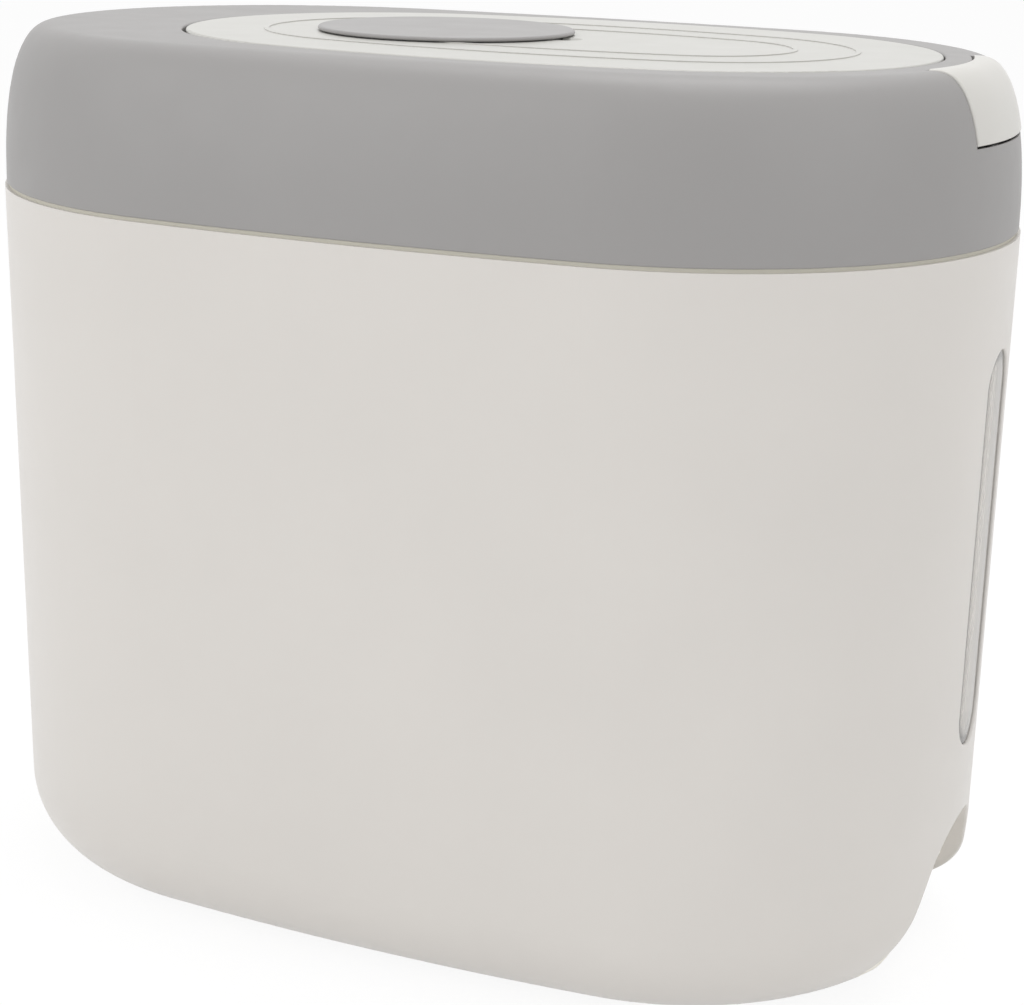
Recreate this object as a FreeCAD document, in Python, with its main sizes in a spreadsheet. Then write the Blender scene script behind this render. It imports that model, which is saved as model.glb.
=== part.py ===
import FreeCAD, Part
import math
import os
import Sketcher
from FreeCAD import Placement, Rotation, Vector

# Household rice dispenser: an oval bin on rubber feet, a domed collar that carries a flip lid,
# a push latch, a level window, and a measuring drawer in an arched recess at the front end.
# X runs along the bin, with the drawer end at +X. Z is up. The origin is on the table, below
# the middle of the oval. Lengths are in millimetres.

doc = FreeCAD.newDocument("rice_dispenser")
sheet = doc.addObject("Spreadsheet::Sheet", "sizes")
kept = []


# ---------------------------------------------------------------------------------------------
# Sizes: each one is a cell of the sheet, and what is worked out from it stays a formula
# ---------------------------------------------------------------------------------------------

class Size:
    """A length with its present number and the formula that the sheet keeps it by."""

    def __init__(self, number, formula):
        self.number = number
        self.formula = formula

    def __add__(self, other):
        other = as_size(other)
        return Size(self.number + other.number, "(%s + %s)" % (self.formula, other.formula))

    def __sub__(self, other):
        other = as_size(other)
        return Size(self.number - other.number, "(%s - %s)" % (self.formula, other.formula))

    def __mul__(self, other):
        other = as_size(other)
        return Size(self.number * other.number, "(%s * %s)" % (self.formula, other.formula))

    def __truediv__(self, other):
        other = as_size(other)
        return Size(self.number / other.number, "(%s / %s)" % (self.formula, other.formula))

    def __pow__(self, other):
        other = as_size(other)
        return Size(self.number ** other.number, "(%s ^ %s)" % (self.formula, other.formula))

    def __neg__(self):
        return Size(-self.number, "(0 - %s)" % self.formula)

    __radd__ = __add__
    __rmul__ = __mul__

    def __rsub__(self, other):
        return as_size(other) - self

    def __rtruediv__(self, other):
        return as_size(other) / self


def as_size(item):
    """A plain number, taken as a length that no cell drives."""
    if isinstance(item, Size):
        return item
    return Size(float(item), "(%.6f)" % item)


def root(item):
    return Size(math.sqrt(item.number), "sqrt(%s)" % item.formula)


def size(alias, number, note):
    """Enter one driving dimension in the sheet and return it as a length."""
    size.row += 1
    cell = "B%d" % size.row
    sheet.set("A%d" % size.row, alias)
    sheet.set(cell, str(number))
    sheet.set("C%d" % size.row, note)
    sheet.setAlias(cell, alias)
    sheet.recompute()
    return Size(float(sheet.get(cell)), "sizes." + alias)


size.row = 0

# body
body_len = size("body_len", 352, "length of the body over its rim")
body_wid = size("body_wid", 226, "width of the body over its rim")
end_ease = size("end_ease", 3, "how much less the rim's end radius is than half its width")
draft_len = size("draft_len", 1.5, "how far each end tapers in from rim to foot")
draft_wid = size("draft_wid", 8, "how far each side tapers in from rim to foot")
base_round = size("base_round", 30.5, "radius where the wall turns under")
wall = size("wall", 2.6, "thickness of the moulded wall")
floor_th = size("floor_th", 3, "thickness of the floor")
fit_gap = size("fit_gap", 0.3, "clearance between parts that are dropped in")
hole_gap = size("hole_gap", 0.05, "clearance of a screw or pin in its hole")

# feet
foot_proud = size("foot_proud", 1, "how far the rubber feet stand out of the floor")
foot_sink = size("foot_sink", 1.6, "depth of the recess that holds a foot")
foot_rad = size("foot_rad", 9, "radius of a foot")
foot_in_x = size("foot_in_x", 69.5, "feet in from the ends of the foot outline")
foot_in_y = size("foot_in_y", 57, "feet in from the sides of the foot outline")

# collar
top_z = size("top_z", 300, "height of the collar's flat top")
collar_ht = size("collar_ht", 52.6, "height of the collar")
seam_ht = size("seam_ht", 1.2, "height of the sealing band between body and collar")
seam_in = size("seam_in", 1.3, "how far the sealing band is set back from the rim")
collar_in = size("collar_in", 0.6, "how far the collar is set back from the rim")
collar_wall = size("collar_wall", 3, "thickness of the collar")
shoulder_len = size("shoulder_len", 16.4, "how far the dome comes in at each end")
shoulder_wid = size("shoulder_wid", 17.7, "how far the dome comes in at each side")
dome_power = size("dome_power", 2.37, "fullness of the collar's shoulder")
skirt_in = size("skirt_in", 4.6, "collar's inner skirt, set back from the rim")
skirt_th = size("skirt_th", 2, "thickness of the inner skirt")
skirt_deep = size("skirt_deep", 10, "how far the inner skirt reaches into the body")
flange_th = size("flange_th", 3, "thickness of the collar's sealing flange")
clip_wid = size("clip_wid", 30, "width of a snap hook on the skirt")
clip_x = size("clip_x", 60, "side snap hooks from the middle")
clip_deep = size("clip_deep", 12, "length of a snap hook below the skirt")
clip_barb = size("clip_barb", 3, "height of a snap hook's barb")
catch_ht = size("catch_ht", 2.5, "height of a catch on the body's wall")
catch_in = size("catch_in", 1.2, "how far a catch stands in from the wall")

# screws
shank_rad = size("shank_rad", 1.4, "radius of a screw's shank")
head_rad = size("head_rad", 2.8, "radius of a screw's head")
head_ht = size("head_ht", 1.8, "height of a screw's head")
bite = size("bite", 2.1, "how far a short screw goes into its boss")
long_bite = size("long_bite", 6.6, "how far a base screw goes into its boss")
boss_ht = size("boss_ht", 8, "height of a base screw's boss")
seat_gap = size("seat_gap", 0.15, "space left over a rim that is screwed up under the collar")

# lid
lid_front_in = size("lid_front_in", 28.1, "lid's front edge, in from the body's end")
lid_rear_in = size("lid_rear_in", 67.9, "lid's rear edge, in from the body's end")
lid_side_in = size("lid_side_in", 27.9, "lid's sides, in from the body's sides")
lid_ease = size("lid_ease", 5.1, "how much less the lid's end radius is than half its width")
lid_th = size("lid_th", 2.4, "thickness of the lid's cover")
lid_proud = size("lid_proud", 0.2, "how far the lid stands above the collar")
lid_gap = size("lid_gap", 0.5, "gap round the lid")
rear_gap = size("rear_gap", 1.4, "gap behind the lid, where it swings")
edge_round = size("edge_round", 0.8, "rounding of the lid's edge")
ridge_in = size("ridge_in", 26, "outer ridge on the lid, in from its edge")
ridge_step = size("ridge_step", 20, "distance from the outer ridge to the inner one")
ridge_wid = size("ridge_wid", 1.6, "width of a ridge")
ridge_ht = size("ridge_ht", 0.3, "height of a ridge")
rib_in = size("rib_in", 5, "stiffening rib under the cover, in from its edge")
rib_th = size("rib_th", 2, "thickness of the stiffening rib")
tray_gap = size("tray_gap", 4, "space between the lid's cover and its tray")
tray_th = size("tray_th", 2.4, "thickness of the lid's tray")
tray_over = size("tray_over", 9, "how far the tray reaches past the filling hole")

# filling hole and its ring
fill_front_in = size("fill_front_in", 17.9, "filling hole, in from the lid's front edge")
fill_rear_in = size("fill_rear_in", 22.1, "filling hole, in from the lid's rear edge")
fill_side_in = size("fill_side_in", 13.1, "filling hole, in from the lid's sides")
fill_ease = size("fill_ease", 2, "how much less the hole's end radius is than half its width")
well_gap = size("well_gap", 0.4, "well wall, set out from the lid's opening")
well_th = size("well_th", 1.8, "thickness of the well wall")
well_lip = size("well_lip", 5.6, "width of the well's screwing lip")
well_deep = size("well_deep", 10, "depth of the well's ledge below the collar's skin")
ledge_th = size("ledge_th", 2, "thickness of the ledge")
lip_ht = size("lip_ht", 2.2, "thickness of the screwing lip")
bead_in = size("bead_in", 4.4, "sealing bead, out from the filling hole")
bead_wid = size("bead_wid", 1.5, "width of the sealing bead")
bead_ht = size("bead_ht", 1.3, "height of the sealing bead")
spout_ht = size("spout_ht", 6, "depth of the filling hole's skirt")
seal_in = size("seal_in", 2.5, "lid seal, out from the filling hole")
seal_wid = size("seal_wid", 5, "width of the lid seal")

# lid hinge
hinge_back = size("hinge_back", 17.6, "hinge pin behind the lid's rear edge")
hinge_down = size("hinge_down", 8.8, "hinge pin below the collar's top")
pin_rad = size("pin_rad", 1.5, "radius of the hinge pin")
hub_rad = size("hub_rad", 3.6, "radius of a hinge arm's hub")
arm_in = size("arm_in", 19.4, "inner radius of the curved hinge arm")
arm_wid = size("arm_wid", 4, "width of the curved hinge arm")
arm_th = size("arm_th", 6, "thickness of a hinge arm")
arm_y = size("arm_y", 7, "inner face of a hinge arm from the middle")
spoke_wid = size("spoke_wid", 4.5, "width of a hinge arm's spoke")
cheek_y = size("cheek_y", 18.2, "inner face of the hinge housing's cheeks")
cheek_th = size("cheek_th", 1.8, "thickness of the hinge housing")
damper_rad = size("damper_rad", 5.4, "radius of the rotary damper")
damper_len = size("damper_len", 12, "length of the rotary damper")
coil_rad = size("coil_rad", 3.1, "radius of the torsion spring's coil")
coil_wire = size("coil_wire", 0.45, "radius of the torsion spring's wire")
coil_len = size("coil_len", 9, "length of the torsion spring's coil")

# moisture absorber in the lid
cap_back = size("cap_back", 39.7, "round cap's middle behind the lid's middle")
cap_rad = size("cap_rad", 43.2, "radius of the round cap")
neck_rad = size("neck_rad", 39.8, "radius of the cap's neck")
neck_th = size("neck_th", 2, "thickness of the cap's neck")
cap_lift = size("cap_lift", 0.45, "gap between the cap's disc and the lid")
cap_th = size("cap_th", 1.3, "thickness of the cap's disc")
ring_rad = size("ring_rad", 0.85, "radius of the cap's sealing ring section")
cup_rad = size("cup_rad", 35.8, "radius of the absorber cup")
cup_wall = size("cup_wall", 1.4, "thickness of the absorber cup")
cup_deep = size("cup_deep", 24, "depth of the absorber cup")
cup_rim = size("cup_rim", 3.5, "width of the absorber cup's rim")
vent_rad = size("vent_rad", 2, "radius of a vent hole")
pack_ht = size("pack_ht", 15, "thickness of the absorber pack")
thumb_rad = size("thumb_rad", 9, "radius of the ball that the thumb hollow is cut by")
thumb_deep = size("thumb_deep", 1.9, "depth of the thumb hollow")

# latch
latch_wid = size("latch_wid", 57, "width of the latch button")
latch_band = size("latch_band", 9.6, "collar's band between the lid and the latch button")
latch_ht = size("latch_ht", 21.6, "latch button's lower edge below the collar's top")
latch_gap = size("latch_gap", 0.5, "gap round the latch button")
latch_drop = size("latch_drop", 0.65, "gap below the latch button")
latch_proud = size("latch_proud", 0.4, "how far the button stands out of the collar")
latch_lip = size("latch_lip", 0.6, "lip that closes the latch pocket's lower edge")
latch_skin = size("latch_skin", 2.4, "thickness of the latch button")
pivot_down = size("pivot_down", 10, "latch pivot below the collar's top")
pivot_rad = size("pivot_rad", 1.2, "radius of the latch pin")
hook_wid = size("hook_wid", 12, "width of the latch hook's arm")
hook_th = size("hook_th", 2.5, "thickness of the latch hook")
hook_in = size("hook_in", 39, "hook's upright, in from the body's end")
hook_down = size("hook_down", 26.5, "underside of the hook's arm below the collar's top")
hook_ht = size("hook_ht", 9, "height of the hook's upright over the arm's underside")
hook_plate_in = size("hook_plate_in", 15, "hook's mounting plate, in from the body's end")
nose = size("nose", 0.9, "how far the hook's nose and the keeper's barb stand out")
nose_ht = size("nose_ht", 2.2, "height of the nose and the barb")
nose_gap = size("nose_gap", 0.8, "clearance between the nose and the barb")
keeper_th = size("keeper_th", 3, "thickness of the keeper")
keeper_wid = size("keeper_wid", 16, "width of the keeper")
box_th = size("box_th", 1.8, "thickness of the latch box")
box_in = size("box_in", 43, "rear face of the latch box, in from the body's end")
box_down = size("box_down", 30, "underside of the latch box below the collar's top")
spring_rad = size("spring_rad", 2.2, "radius of the latch spring's coil")
spring_in = size("spring_in", 9.5, "latch spring, in from the body's end")
shelf_down = size("shelf_down", 19.4, "spring's shelf below the collar's top")
spring_wire = size("spring_wire", 0.35, "radius of the latch spring's wire")

# level window
slot_wid = size("slot_wid", 24.4, "width of the window slot")
slot_low = size("slot_low", 79.6, "lower end of the window slot")
slot_drop = size("slot_drop", 34, "upper end of the window slot below the rim")
pane_in = size("pane_in", 0.9, "how far the pane is set back from the body")
pane_flange = size("pane_flange", 5, "width of the pane's flange")
pane_deep = size("pane_deep", 6.4, "pane's flange, in from the body's end")
pane_flange_th = size("pane_flange_th", 1.6, "thickness of the pane's flange")
frame_th = size("frame_th", 2.2, "thickness of the window's clamping frame")
frame_rim = size("frame_rim", 5.4, "width of the clamping frame round the slot")
ear_out = size("ear_out", 9.2, "window screws from the slot's edge")
ear_up = size("ear_up", 28, "window screws from the slot's two ends")
ear_rad = size("ear_rad", 4, "radius of a screw ear")

# drawer and its bay
arch_rad = size("arch_rad", 29.2, "radius of the arched recess's crown")
arch_top = size("arch_top", 54.9, "height of the arched recess")
arch_steep = size("arch_steep", 1.64, "fall of the recess's sides for each millimetre outwards")
arch_wall = size("arch_wall", 2.4, "thickness of the recess's lining")
front_deep = size("front_deep", 19, "drawer's front, in from the body's end")
front_th = size("front_th", 3, "thickness of the drawer's front")
front_gap = size("front_gap", 0.4, "gap round the drawer's front")
pull_out = size("pull_out", 9, "how far the drawer's pull stands out")
pull_wid = size("pull_wid", 40, "width of the drawer's pull")
pull_up = size("pull_up", 30, "underside of the drawer's pull above the floor")
pull_th = size("pull_th", 3.4, "thickness of the drawer's pull")
drawer_len = size("drawer_len", 120, "length of the drawer")
drawer_side = size("drawer_side", 0.4, "space between the drawer and its runners")
drawer_clear = size("drawer_clear", 2, "space under the drawer")
drawer_ht = size("drawer_ht", 25.4, "height of the drawer")
drawer_wall = size("drawer_wall", 1.8, "thickness of the drawer")
drawer_round = size("drawer_round", 6, "radius of the drawer's upright corners")
rim_gap = size("rim_gap", 0.35, "space between the drawer's rim and the recess")
rim_wid = size("rim_wid", 2, "width of the drawer's sliding rim")
rim_th = size("rim_th", 1.4, "thickness of the drawer's sliding rim")
shutter_over = size("shutter_over", 1, "how much longer the shutter is than the travel")
travel = size("travel", 105, "how far the drawer pulls out")
bay_wall = size("bay_wall", 2, "thickness of the drawer bay")
bay_play = size("bay_play", 0.5, "space beside the drawer's rim in its bay")
bay_gap = size("bay_gap", 0.5, "space over the drawer in its bay")
runner_ht = size("runner_ht", 1.7, "height of a runner strip")
stop_gap = size("stop_gap", 0.2, "clearance between stop and peg at full travel")
peg_len = size("peg_len", 3, "length of a stop peg")

# hopper
outlet_len = size("outlet_len", 40, "length of the outlet")
outlet_half = size("outlet_half", 22, "half width of the outlet")
ramp_rise = size("ramp_rise", 0.42, "rise of the rear ramp for each millimetre")
side_rise = size("side_rise", 1.0, "rise of the side ramps for each millimetre")
front_rise = size("front_rise", 1.79, "rise of the front ramp for each millimetre")
ramp_th = size("ramp_th", 2.2, "thickness of the hopper")
ramp_drop = size("ramp_drop", 76.2, "height that the ramps are drawn to, below the rim")
rib_out = size("rib_out", 17.1, "hopper's standing ribs, out from the drawer bay")
rib_rear_in = size("rib_rear_in", 36, "standing ribs, in from the body's rear end")
well_drop = size("well_drop", 13.6, "underside of the window pocket below the slot")
well_side = size("well_side", 6.4, "window pocket, out from the slot's sides")
well_deep_x = size("well_deep_x", 6.1, "window pocket, in from the pane's flange")
hopper_screw_x = size("hopper_screw_x", 70, "hopper screws from the middle, lengthwise")
bay_screw_in = size("bay_screw_in", 6, "rear bay screws, in from the bay's rear end")
bay_screw_back = size("bay_screw_back", 84, "front bay screws, behind the drawer's front")
bay_screw_out = size("bay_screw_out", 4.6, "bay screws, out from the bay's sides")
rib_screw_out = size("rib_screw_out", 7, "hopper screws, out from the standing ribs")
rib_front_in = size("rib_front_in", 36, "standing ribs, behind the drawer's front")

edge_soft = size("edge_soft", 0.8, "rounding of the openings' and the latch's edges")
seam_soft = size("seam_soft", 0.5, "rounding of the collar's lower edge")
over = size("over", 1, "how far a cutting block runs past a face")

# ---------------------------------------------------------------------------------------------
# Heights and places that follow from the sizes
# ---------------------------------------------------------------------------------------------

zero = as_size(0)
end_x = body_len / 2
end_rad = body_wid / 2 - end_ease
base_len = body_len - 2 * draft_len
base_wid = body_wid - 2 * draft_wid
collar_low = top_z - collar_ht
rim_z = collar_low - seam_ht
floor_z = foot_proud + floor_th
skin_z = top_z - collar_wall
lid_top = top_z + lid_proud
cover_z = lid_top - lid_th
tray_top = cover_z - tray_gap
tray_low = tray_top - tray_th
ledge_z = skin_z - well_deep
ledge_low = ledge_z - ledge_th
lid_len = body_len - lid_front_in - lid_rear_in
lid_wid = body_wid - 2 * lid_side_in
lid_x = (lid_rear_in - lid_front_in) / 2
lid_rad = lid_wid / 2 - lid_ease
fill_len = lid_len - fill_front_in - fill_rear_in
fill_wid = lid_wid - 2 * fill_side_in
fill_x = lid_x + (fill_rear_in - fill_front_in) / 2
fill_rad = fill_wid / 2 - fill_ease
lip_top = skin_z - seat_gap
cap_x = lid_x - cap_back
hinge_x = lid_x - lid_len / 2 - hinge_back
hinge_z = top_z - hinge_down
lid_front = lid_x + lid_len / 2
latch_x = lid_front + latch_band
latch_z = top_z - latch_ht
pivot_z = top_z - pivot_down
hook_x = end_x - hook_in
hook_z = top_z - hook_down
hook_plate_x = end_x - hook_plate_in
box_x = end_x - box_in
box_z = top_z - box_down
spring_x = end_x - spring_in
shelf_z = top_z - shelf_down
slot_high = rim_z - slot_drop
pane_x = end_x - pane_deep
front_x = end_x - front_deep
panel_x = front_x - front_th
bay_front = panel_x - fit_gap
plate_back = bay_front - bay_wall - 0.2
drawer_back = panel_x - drawer_len
drawer_low = floor_z + drawer_clear
drawer_top = drawer_low + drawer_ht
arch_mid = arch_top - arch_rad
slant = root(1 + arch_steep * arch_steep)
rim_half = (arch_mid + arch_rad * slant - drawer_top) / arch_steep - rim_gap
bay_half = rim_half + bay_play
drawer_half = rim_half - rim_wid
runner_wid = bay_half - drawer_half - drawer_side
outer_half = bay_half + bay_wall
pull_z = floor_z + pull_up
shutter_len = travel + shutter_over
bay_back = drawer_back - shutter_len - bay_wall - 2
bay_roof = drawer_top + bay_gap
bay_top = bay_roof + bay_wall
rim_low = drawer_top - rim_th
ramp_top = rim_z - ramp_drop
mouth_z = bay_top + 0.2
sleeve_top = arch_top + arch_wall
front_skin = ramp_th * root(1 + front_rise * front_rise) / front_rise
outlet_high = plate_back - (sleeve_top + fit_gap - mouth_z) / front_rise - front_skin
outlet_low = outlet_high - outlet_len
rib_y = outer_half + rib_out
rib_back = rib_rear_in - end_x
rib_front = panel_x - rib_front_in
well_low = slot_low - well_drop
well_half = slot_wid / 2 + well_side
well_back = pane_x - well_deep_x
bay_screw_y = outer_half + bay_screw_out
foot_x = base_len / 2 - foot_in_x
foot_y = base_wid / 2 - foot_in_y
screw_hole = shank_rad + hole_gap


class Oval:
    """A plan outline of four arcs: two ends, and two flatter sides that meet them in tangent."""

    def __init__(self, centre, half_len, half_wid, radius):
        self.centre = as_size(centre)
        self.half_len = half_len
        self.half_wid = half_wid
        self.radius = radius
        self.arm = half_len - radius
        self.side = (self.arm * self.arm + half_wid * half_wid - radius * radius) / (
            2 * (half_wid - radius))

    def grown(self, by):
        return Oval(self.centre, self.half_len + by, self.half_wid + by, self.radius + by)

    def end_point(self, degrees, front, left):
        """A point on an end arc, at an angle from the long axis."""
        turn = math.radians(degrees)
        reach = self.arm + self.radius * math.cos(turn)
        across = self.radius * math.sin(turn)
        x = self.centre + reach if front else self.centre - reach
        return x, (across if left else -across)

    def six_points(self, degrees):
        """Four points on the ends and one in the middle of each side."""
        ends = [self.end_point(degrees, front, left)
                for front in (True, False) for left in (True, False)]
        return ends + [(self.centre, self.half_wid), (self.centre, -self.half_wid)]


base_plan = Oval(0, base_len / 2, base_wid / 2, end_rad - draft_wid)
rim_plan = Oval(0, body_len / 2, body_wid / 2, end_rad)
collar_plan = rim_plan.grown(-collar_in)
top_plan = Oval(0, collar_plan.half_len - shoulder_len, collar_plan.half_wid - shoulder_wid,
                collar_plan.radius - shoulder_wid)
lid_plan = Oval(lid_x, lid_len / 2, lid_wid / 2, lid_rad)
rear_shift = (rear_gap - lid_gap) / 2
opening_plan = Oval(lid_x - rear_shift, lid_len / 2 + lid_gap + rear_shift,
                    lid_wid / 2 + lid_gap, lid_rad + lid_gap)
fill_plan = Oval(fill_x, fill_len / 2, fill_wid / 2, fill_rad)
tray_plan = fill_plan.grown(tray_over)


# ---------------------------------------------------------------------------------------------
# Helpers: each makes one document object and ties it to the sheet
# ---------------------------------------------------------------------------------------------

def bind(item, path, length):
    item.setExpression(path, as_size(length).formula)


def place(item, x, y, z, turn=Rotation()):
    """Put an object down with its place tied to the sheet."""
    spot = [as_size(x), as_size(y), as_size(z)]
    item.Placement = Placement(Vector(*[s.number for s in spot]), turn)
    for axis, length in zip("xyz", spot):
        bind(item, "Placement.Base." + axis, length)


def keep(item, label):
    """Give a finished piece the name that its file has."""
    item.Label = label
    kept.append(item)
    return item


def box(name, low, high):
    """A block between two corners."""
    block = doc.addObject("Part::Box", name)
    corners = [(as_size(a), as_size(b)) for a, b in zip(low, high)]
    for side, (a, b) in zip(("Length", "Width", "Height"), corners):
        bind(block, side, b - a)
    place(block, *[a for a, b in corners])
    return block


TURN = {"x": Rotation(Vector(0, 1, 0), 90),
        "y": Rotation(Vector(1, 0, 0), -90),
        "z": Rotation()}
ACROSS = Rotation(0.5, 0.5, 0.5, 0.5)   # a sketch's x runs along Y, and its y along Z


def rod(name, axis, radius, start, length):
    """A round bar that starts at a point and runs along +x, +y or +z."""
    bar = doc.addObject("Part::Cylinder", name)
    bind(bar, "Radius", radius)
    bind(bar, "Height", length)
    place(bar, *start, TURN[axis])
    return bar


def ball(name, radius, x, y, z):
    sphere = doc.addObject("Part::Sphere", name)
    bind(sphere, "Radius", radius)
    place(sphere, x, y, z)
    return sphere


def fuse(name, *items):
    joined = doc.addObject("Part::MultiFuse", name)
    joined.Shapes = list(items)
    return joined


def common(name, *items):
    shared = doc.addObject("Part::MultiCommon", name)
    shared.Shapes = list(items)
    return shared


def cut(name, base, *tools):
    left = doc.addObject("Part::Cut", name)
    left.Base = base
    left.Tool = tools[0] if len(tools) == 1 else fuse(name + "_tools", *tools)
    return left


def group(name, items):
    """Separate solids that share one node."""
    held = doc.addObject("Part::Compound", name)
    held.Links = items
    return held


def plane_of(body, role):
    return [f for f in body.Origin.OriginFeatures if f.Role == role][0]


def new_sketch(name, owner, role, offset):
    """A sketch in a body, on one of its own origin planes, or free when it has no owner."""
    if owner is None:
        return doc.addObject("Sketcher::SketchObject", name)
    sketch = owner.newObject("Sketcher::SketchObject", name)
    sketch.AttachmentSupport = (plane_of(owner, role), [""])
    sketch.MapMode = "FlatFace"
    bind(sketch, "AttachmentOffset.Base.z", offset)
    return sketch


def rule(sketch, kind, *args):
    """Add a constraint, and tie it to the sheet when its last argument is a length."""
    if isinstance(args[-1], Size):
        index = sketch.addConstraint(Sketcher.Constraint(kind, *args[:-1], args[-1].number))
        sketch.setExpression("Constraints[%d]" % index, args[-1].formula)
    else:
        sketch.addConstraint(Sketcher.Constraint(kind, *args))


def draw_oval(sketch, plan):
    """Draw a four-arc outline about the middle of its own centre."""
    middle = plan.centre.number
    arm = plan.arm.number
    drop = plan.side.number - plan.half_wid.number
    meet = math.atan2(drop, arm)
    start = sketch.GeometryCount
    arcs = [(middle + arm, 0, plan.radius, -meet, meet),
            (middle, -drop, plan.side, meet, math.pi - meet),
            (middle - arm, 0, plan.radius, math.pi - meet, math.pi + meet),
            (middle, drop, plan.side, math.pi + meet, 2 * math.pi - meet)]
    for x, y, radius, low, high in arcs:
        circle = Part.Circle(Vector(x, y, 0), Vector(0, 0, 1), radius.number)
        sketch.addGeometry(Part.ArcOfCircle(circle, low, high), False)
    front, left, rear, right = range(start, start + 4)
    for one, two in ((front, left), (left, rear), (rear, right), (right, front)):
        rule(sketch, "Tangent", one, 2, two, 1)
    rule(sketch, "PointOnObject", front, 3, -1)
    rule(sketch, "PointOnObject", rear, 3, -1)
    rule(sketch, "DistanceX", -1, 1, front, 3, plan.centre + plan.arm)
    rule(sketch, "DistanceX", -1, 1, rear, 3, plan.centre - plan.arm)
    rule(sketch, "Radius", front, plan.radius)
    rule(sketch, "Equal", front, rear)
    rule(sketch, "Radius", left, plan.side)
    rule(sketch, "Equal", left, right)


def draw_outline(sketch, points):
    """Draw a closed outline of straight lines, with every corner tied to the sheet."""
    spots = [(as_size(x), as_size(y)) for x, y in points]
    start = sketch.GeometryCount
    count = len(spots)
    for i in range(count):
        a = Vector(spots[i][0].number, spots[i][1].number, 0)
        b = Vector(spots[(i + 1) % count][0].number, spots[(i + 1) % count][1].number, 0)
        sketch.addGeometry(Part.LineSegment(a, b), False)
    for i in range(count):
        rule(sketch, "Coincident", start + i, 2, start + (i + 1) % count, 1)
    for i, (x, y) in enumerate(spots):
        for kind, length, axis in (("DistanceX", x, -2), ("DistanceY", y, -1)):
            if length.number == 0:
                rule(sketch, "PointOnObject", start + i, 1, axis)
            else:
                rule(sketch, kind, -1, 1, start + i, 1, length)


def draw_circle(sketch, x, y, radius):
    circle = Part.Circle(Vector(as_size(x).number, as_size(y).number, 0), Vector(0, 0, 1),
                         radius.number)
    index = sketch.addGeometry(circle, False)
    for kind, length, axis in (("DistanceX", as_size(x), -2), ("DistanceY", as_size(y), -1)):
        if length.number == 0:
            rule(sketch, "PointOnObject", index, 3, axis)
        else:
            rule(sketch, kind, -1, 1, index, 3, length)
    rule(sketch, "Radius", index, radius)


def draw_arch(sketch, grow, low):
    """Draw the recess's outline: a round crown, straight sides that spread, and a level foot."""
    radius = arch_rad + grow
    reach = radius * arch_steep / slant
    spring = arch_mid + radius / slant
    foot = (arch_mid + radius * slant - low) / arch_steep
    turn = math.atan2(1, arch_steep.number)
    start = sketch.GeometryCount
    head = Part.Circle(Vector(0, arch_mid.number, 0), Vector(0, 0, 1), radius.number)
    sketch.addGeometry(Part.ArcOfCircle(head, turn, math.pi - turn), False)
    corners = [(-reach, spring), (-foot, low), (foot, low), (reach, spring)]
    spots = [Vector(y.number, z.number, 0) for y, z in corners]
    for a, b in zip(spots, spots[1:]):
        sketch.addGeometry(Part.LineSegment(a, b), False)
    arc, left, low_line, right = range(start, start + 4)
    rule(sketch, "Tangent", arc, 2, left, 1)
    rule(sketch, "Coincident", left, 2, low_line, 1)
    rule(sketch, "Coincident", low_line, 2, right, 1)
    rule(sketch, "Tangent", right, 2, arc, 1)
    rule(sketch, "Horizontal", low_line)
    rule(sketch, "PointOnObject", arc, 3, -2)
    rule(sketch, "Radius", arc, radius)
    rule(sketch, "DistanceY", -1, 1, arc, 3, arch_mid)
    rule(sketch, "DistanceY", -1, 1, low_line, 1, low)
    rule(sketch, "DistanceX", -1, 1, low_line, 1, -foot)
    rule(sketch, "DistanceX", -1, 1, low_line, 2, foot)


def extrude(name, sketch, length, direction):
    solid = doc.addObject("Part::Extrusion", name)
    solid.Base = sketch
    solid.DirMode = "Custom"
    solid.Dir = direction
    solid.Solid = True
    bind(solid, "LengthFwd", length)
    return solid


def prism(name, plan, low, high):
    """An upright block on an oval plan."""
    sketch = new_sketch(name + "_plan", None, None, None)
    draw_oval(sketch, plan)
    place(sketch, 0, 0, low)
    return extrude(name, sketch, high - low, Vector(0, 0, 1))


def loft(name, sections):
    """A skin through oval plans at several heights, closed to a solid."""
    solid = doc.addObject("Part::Loft", name)
    plans = []
    for i, (plan, z) in enumerate(sections):
        sketch = new_sketch("%s_plan_%d" % (name, i), None, None, None)
        draw_oval(sketch, plan)
        place(sketch, 0, 0, z)
        plans.append(sketch)
    solid.Sections = plans
    solid.Solid = True
    solid.MaxDegree = 3
    return solid


def arch_block(name, grow, low, x_from, x_to):
    """A block on the recess's outline, grown by a distance, that runs along the bin."""
    sketch = new_sketch(name + "_face", None, None, None)
    draw_arch(sketch, as_size(grow), low)
    place(sketch, x_from, 0, 0, ACROSS)
    return extrude(name, sketch, x_to - x_from, Vector(1, 0, 0))


def slot_block(name, spread, x_from, x_to):
    """A block on the window slot's outline, grown by a distance, that runs along the bin."""
    half = slot_wid / 2
    radius = half + spread
    ends = [rod("%s_end_%d" % (name, i), "x", radius, (x_from, zero, z), x_to - x_from)
            for i, z in enumerate((slot_low + half, slot_high - half))]
    middle = box(name + "_middle", (x_from, -radius, slot_low + half),
                 (x_to, radius, slot_high - half))
    return fuse(name, middle, *ends)


def bucket(name, inset):
    """The body's drafted outside, set in by a distance."""
    return loft(name, [(plan_at(foot_proud, inset), foot_proud), (plan_at(rim_z, inset), rim_z)])


# shares of the collar's height at which the dome's outline is drawn
DOME_STEPS = (0, 0.12, 0.25, 0.38, 0.5, 0.61, 0.71, 0.8, 0.87, 0.925, 0.965, 0.99, 1)


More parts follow.
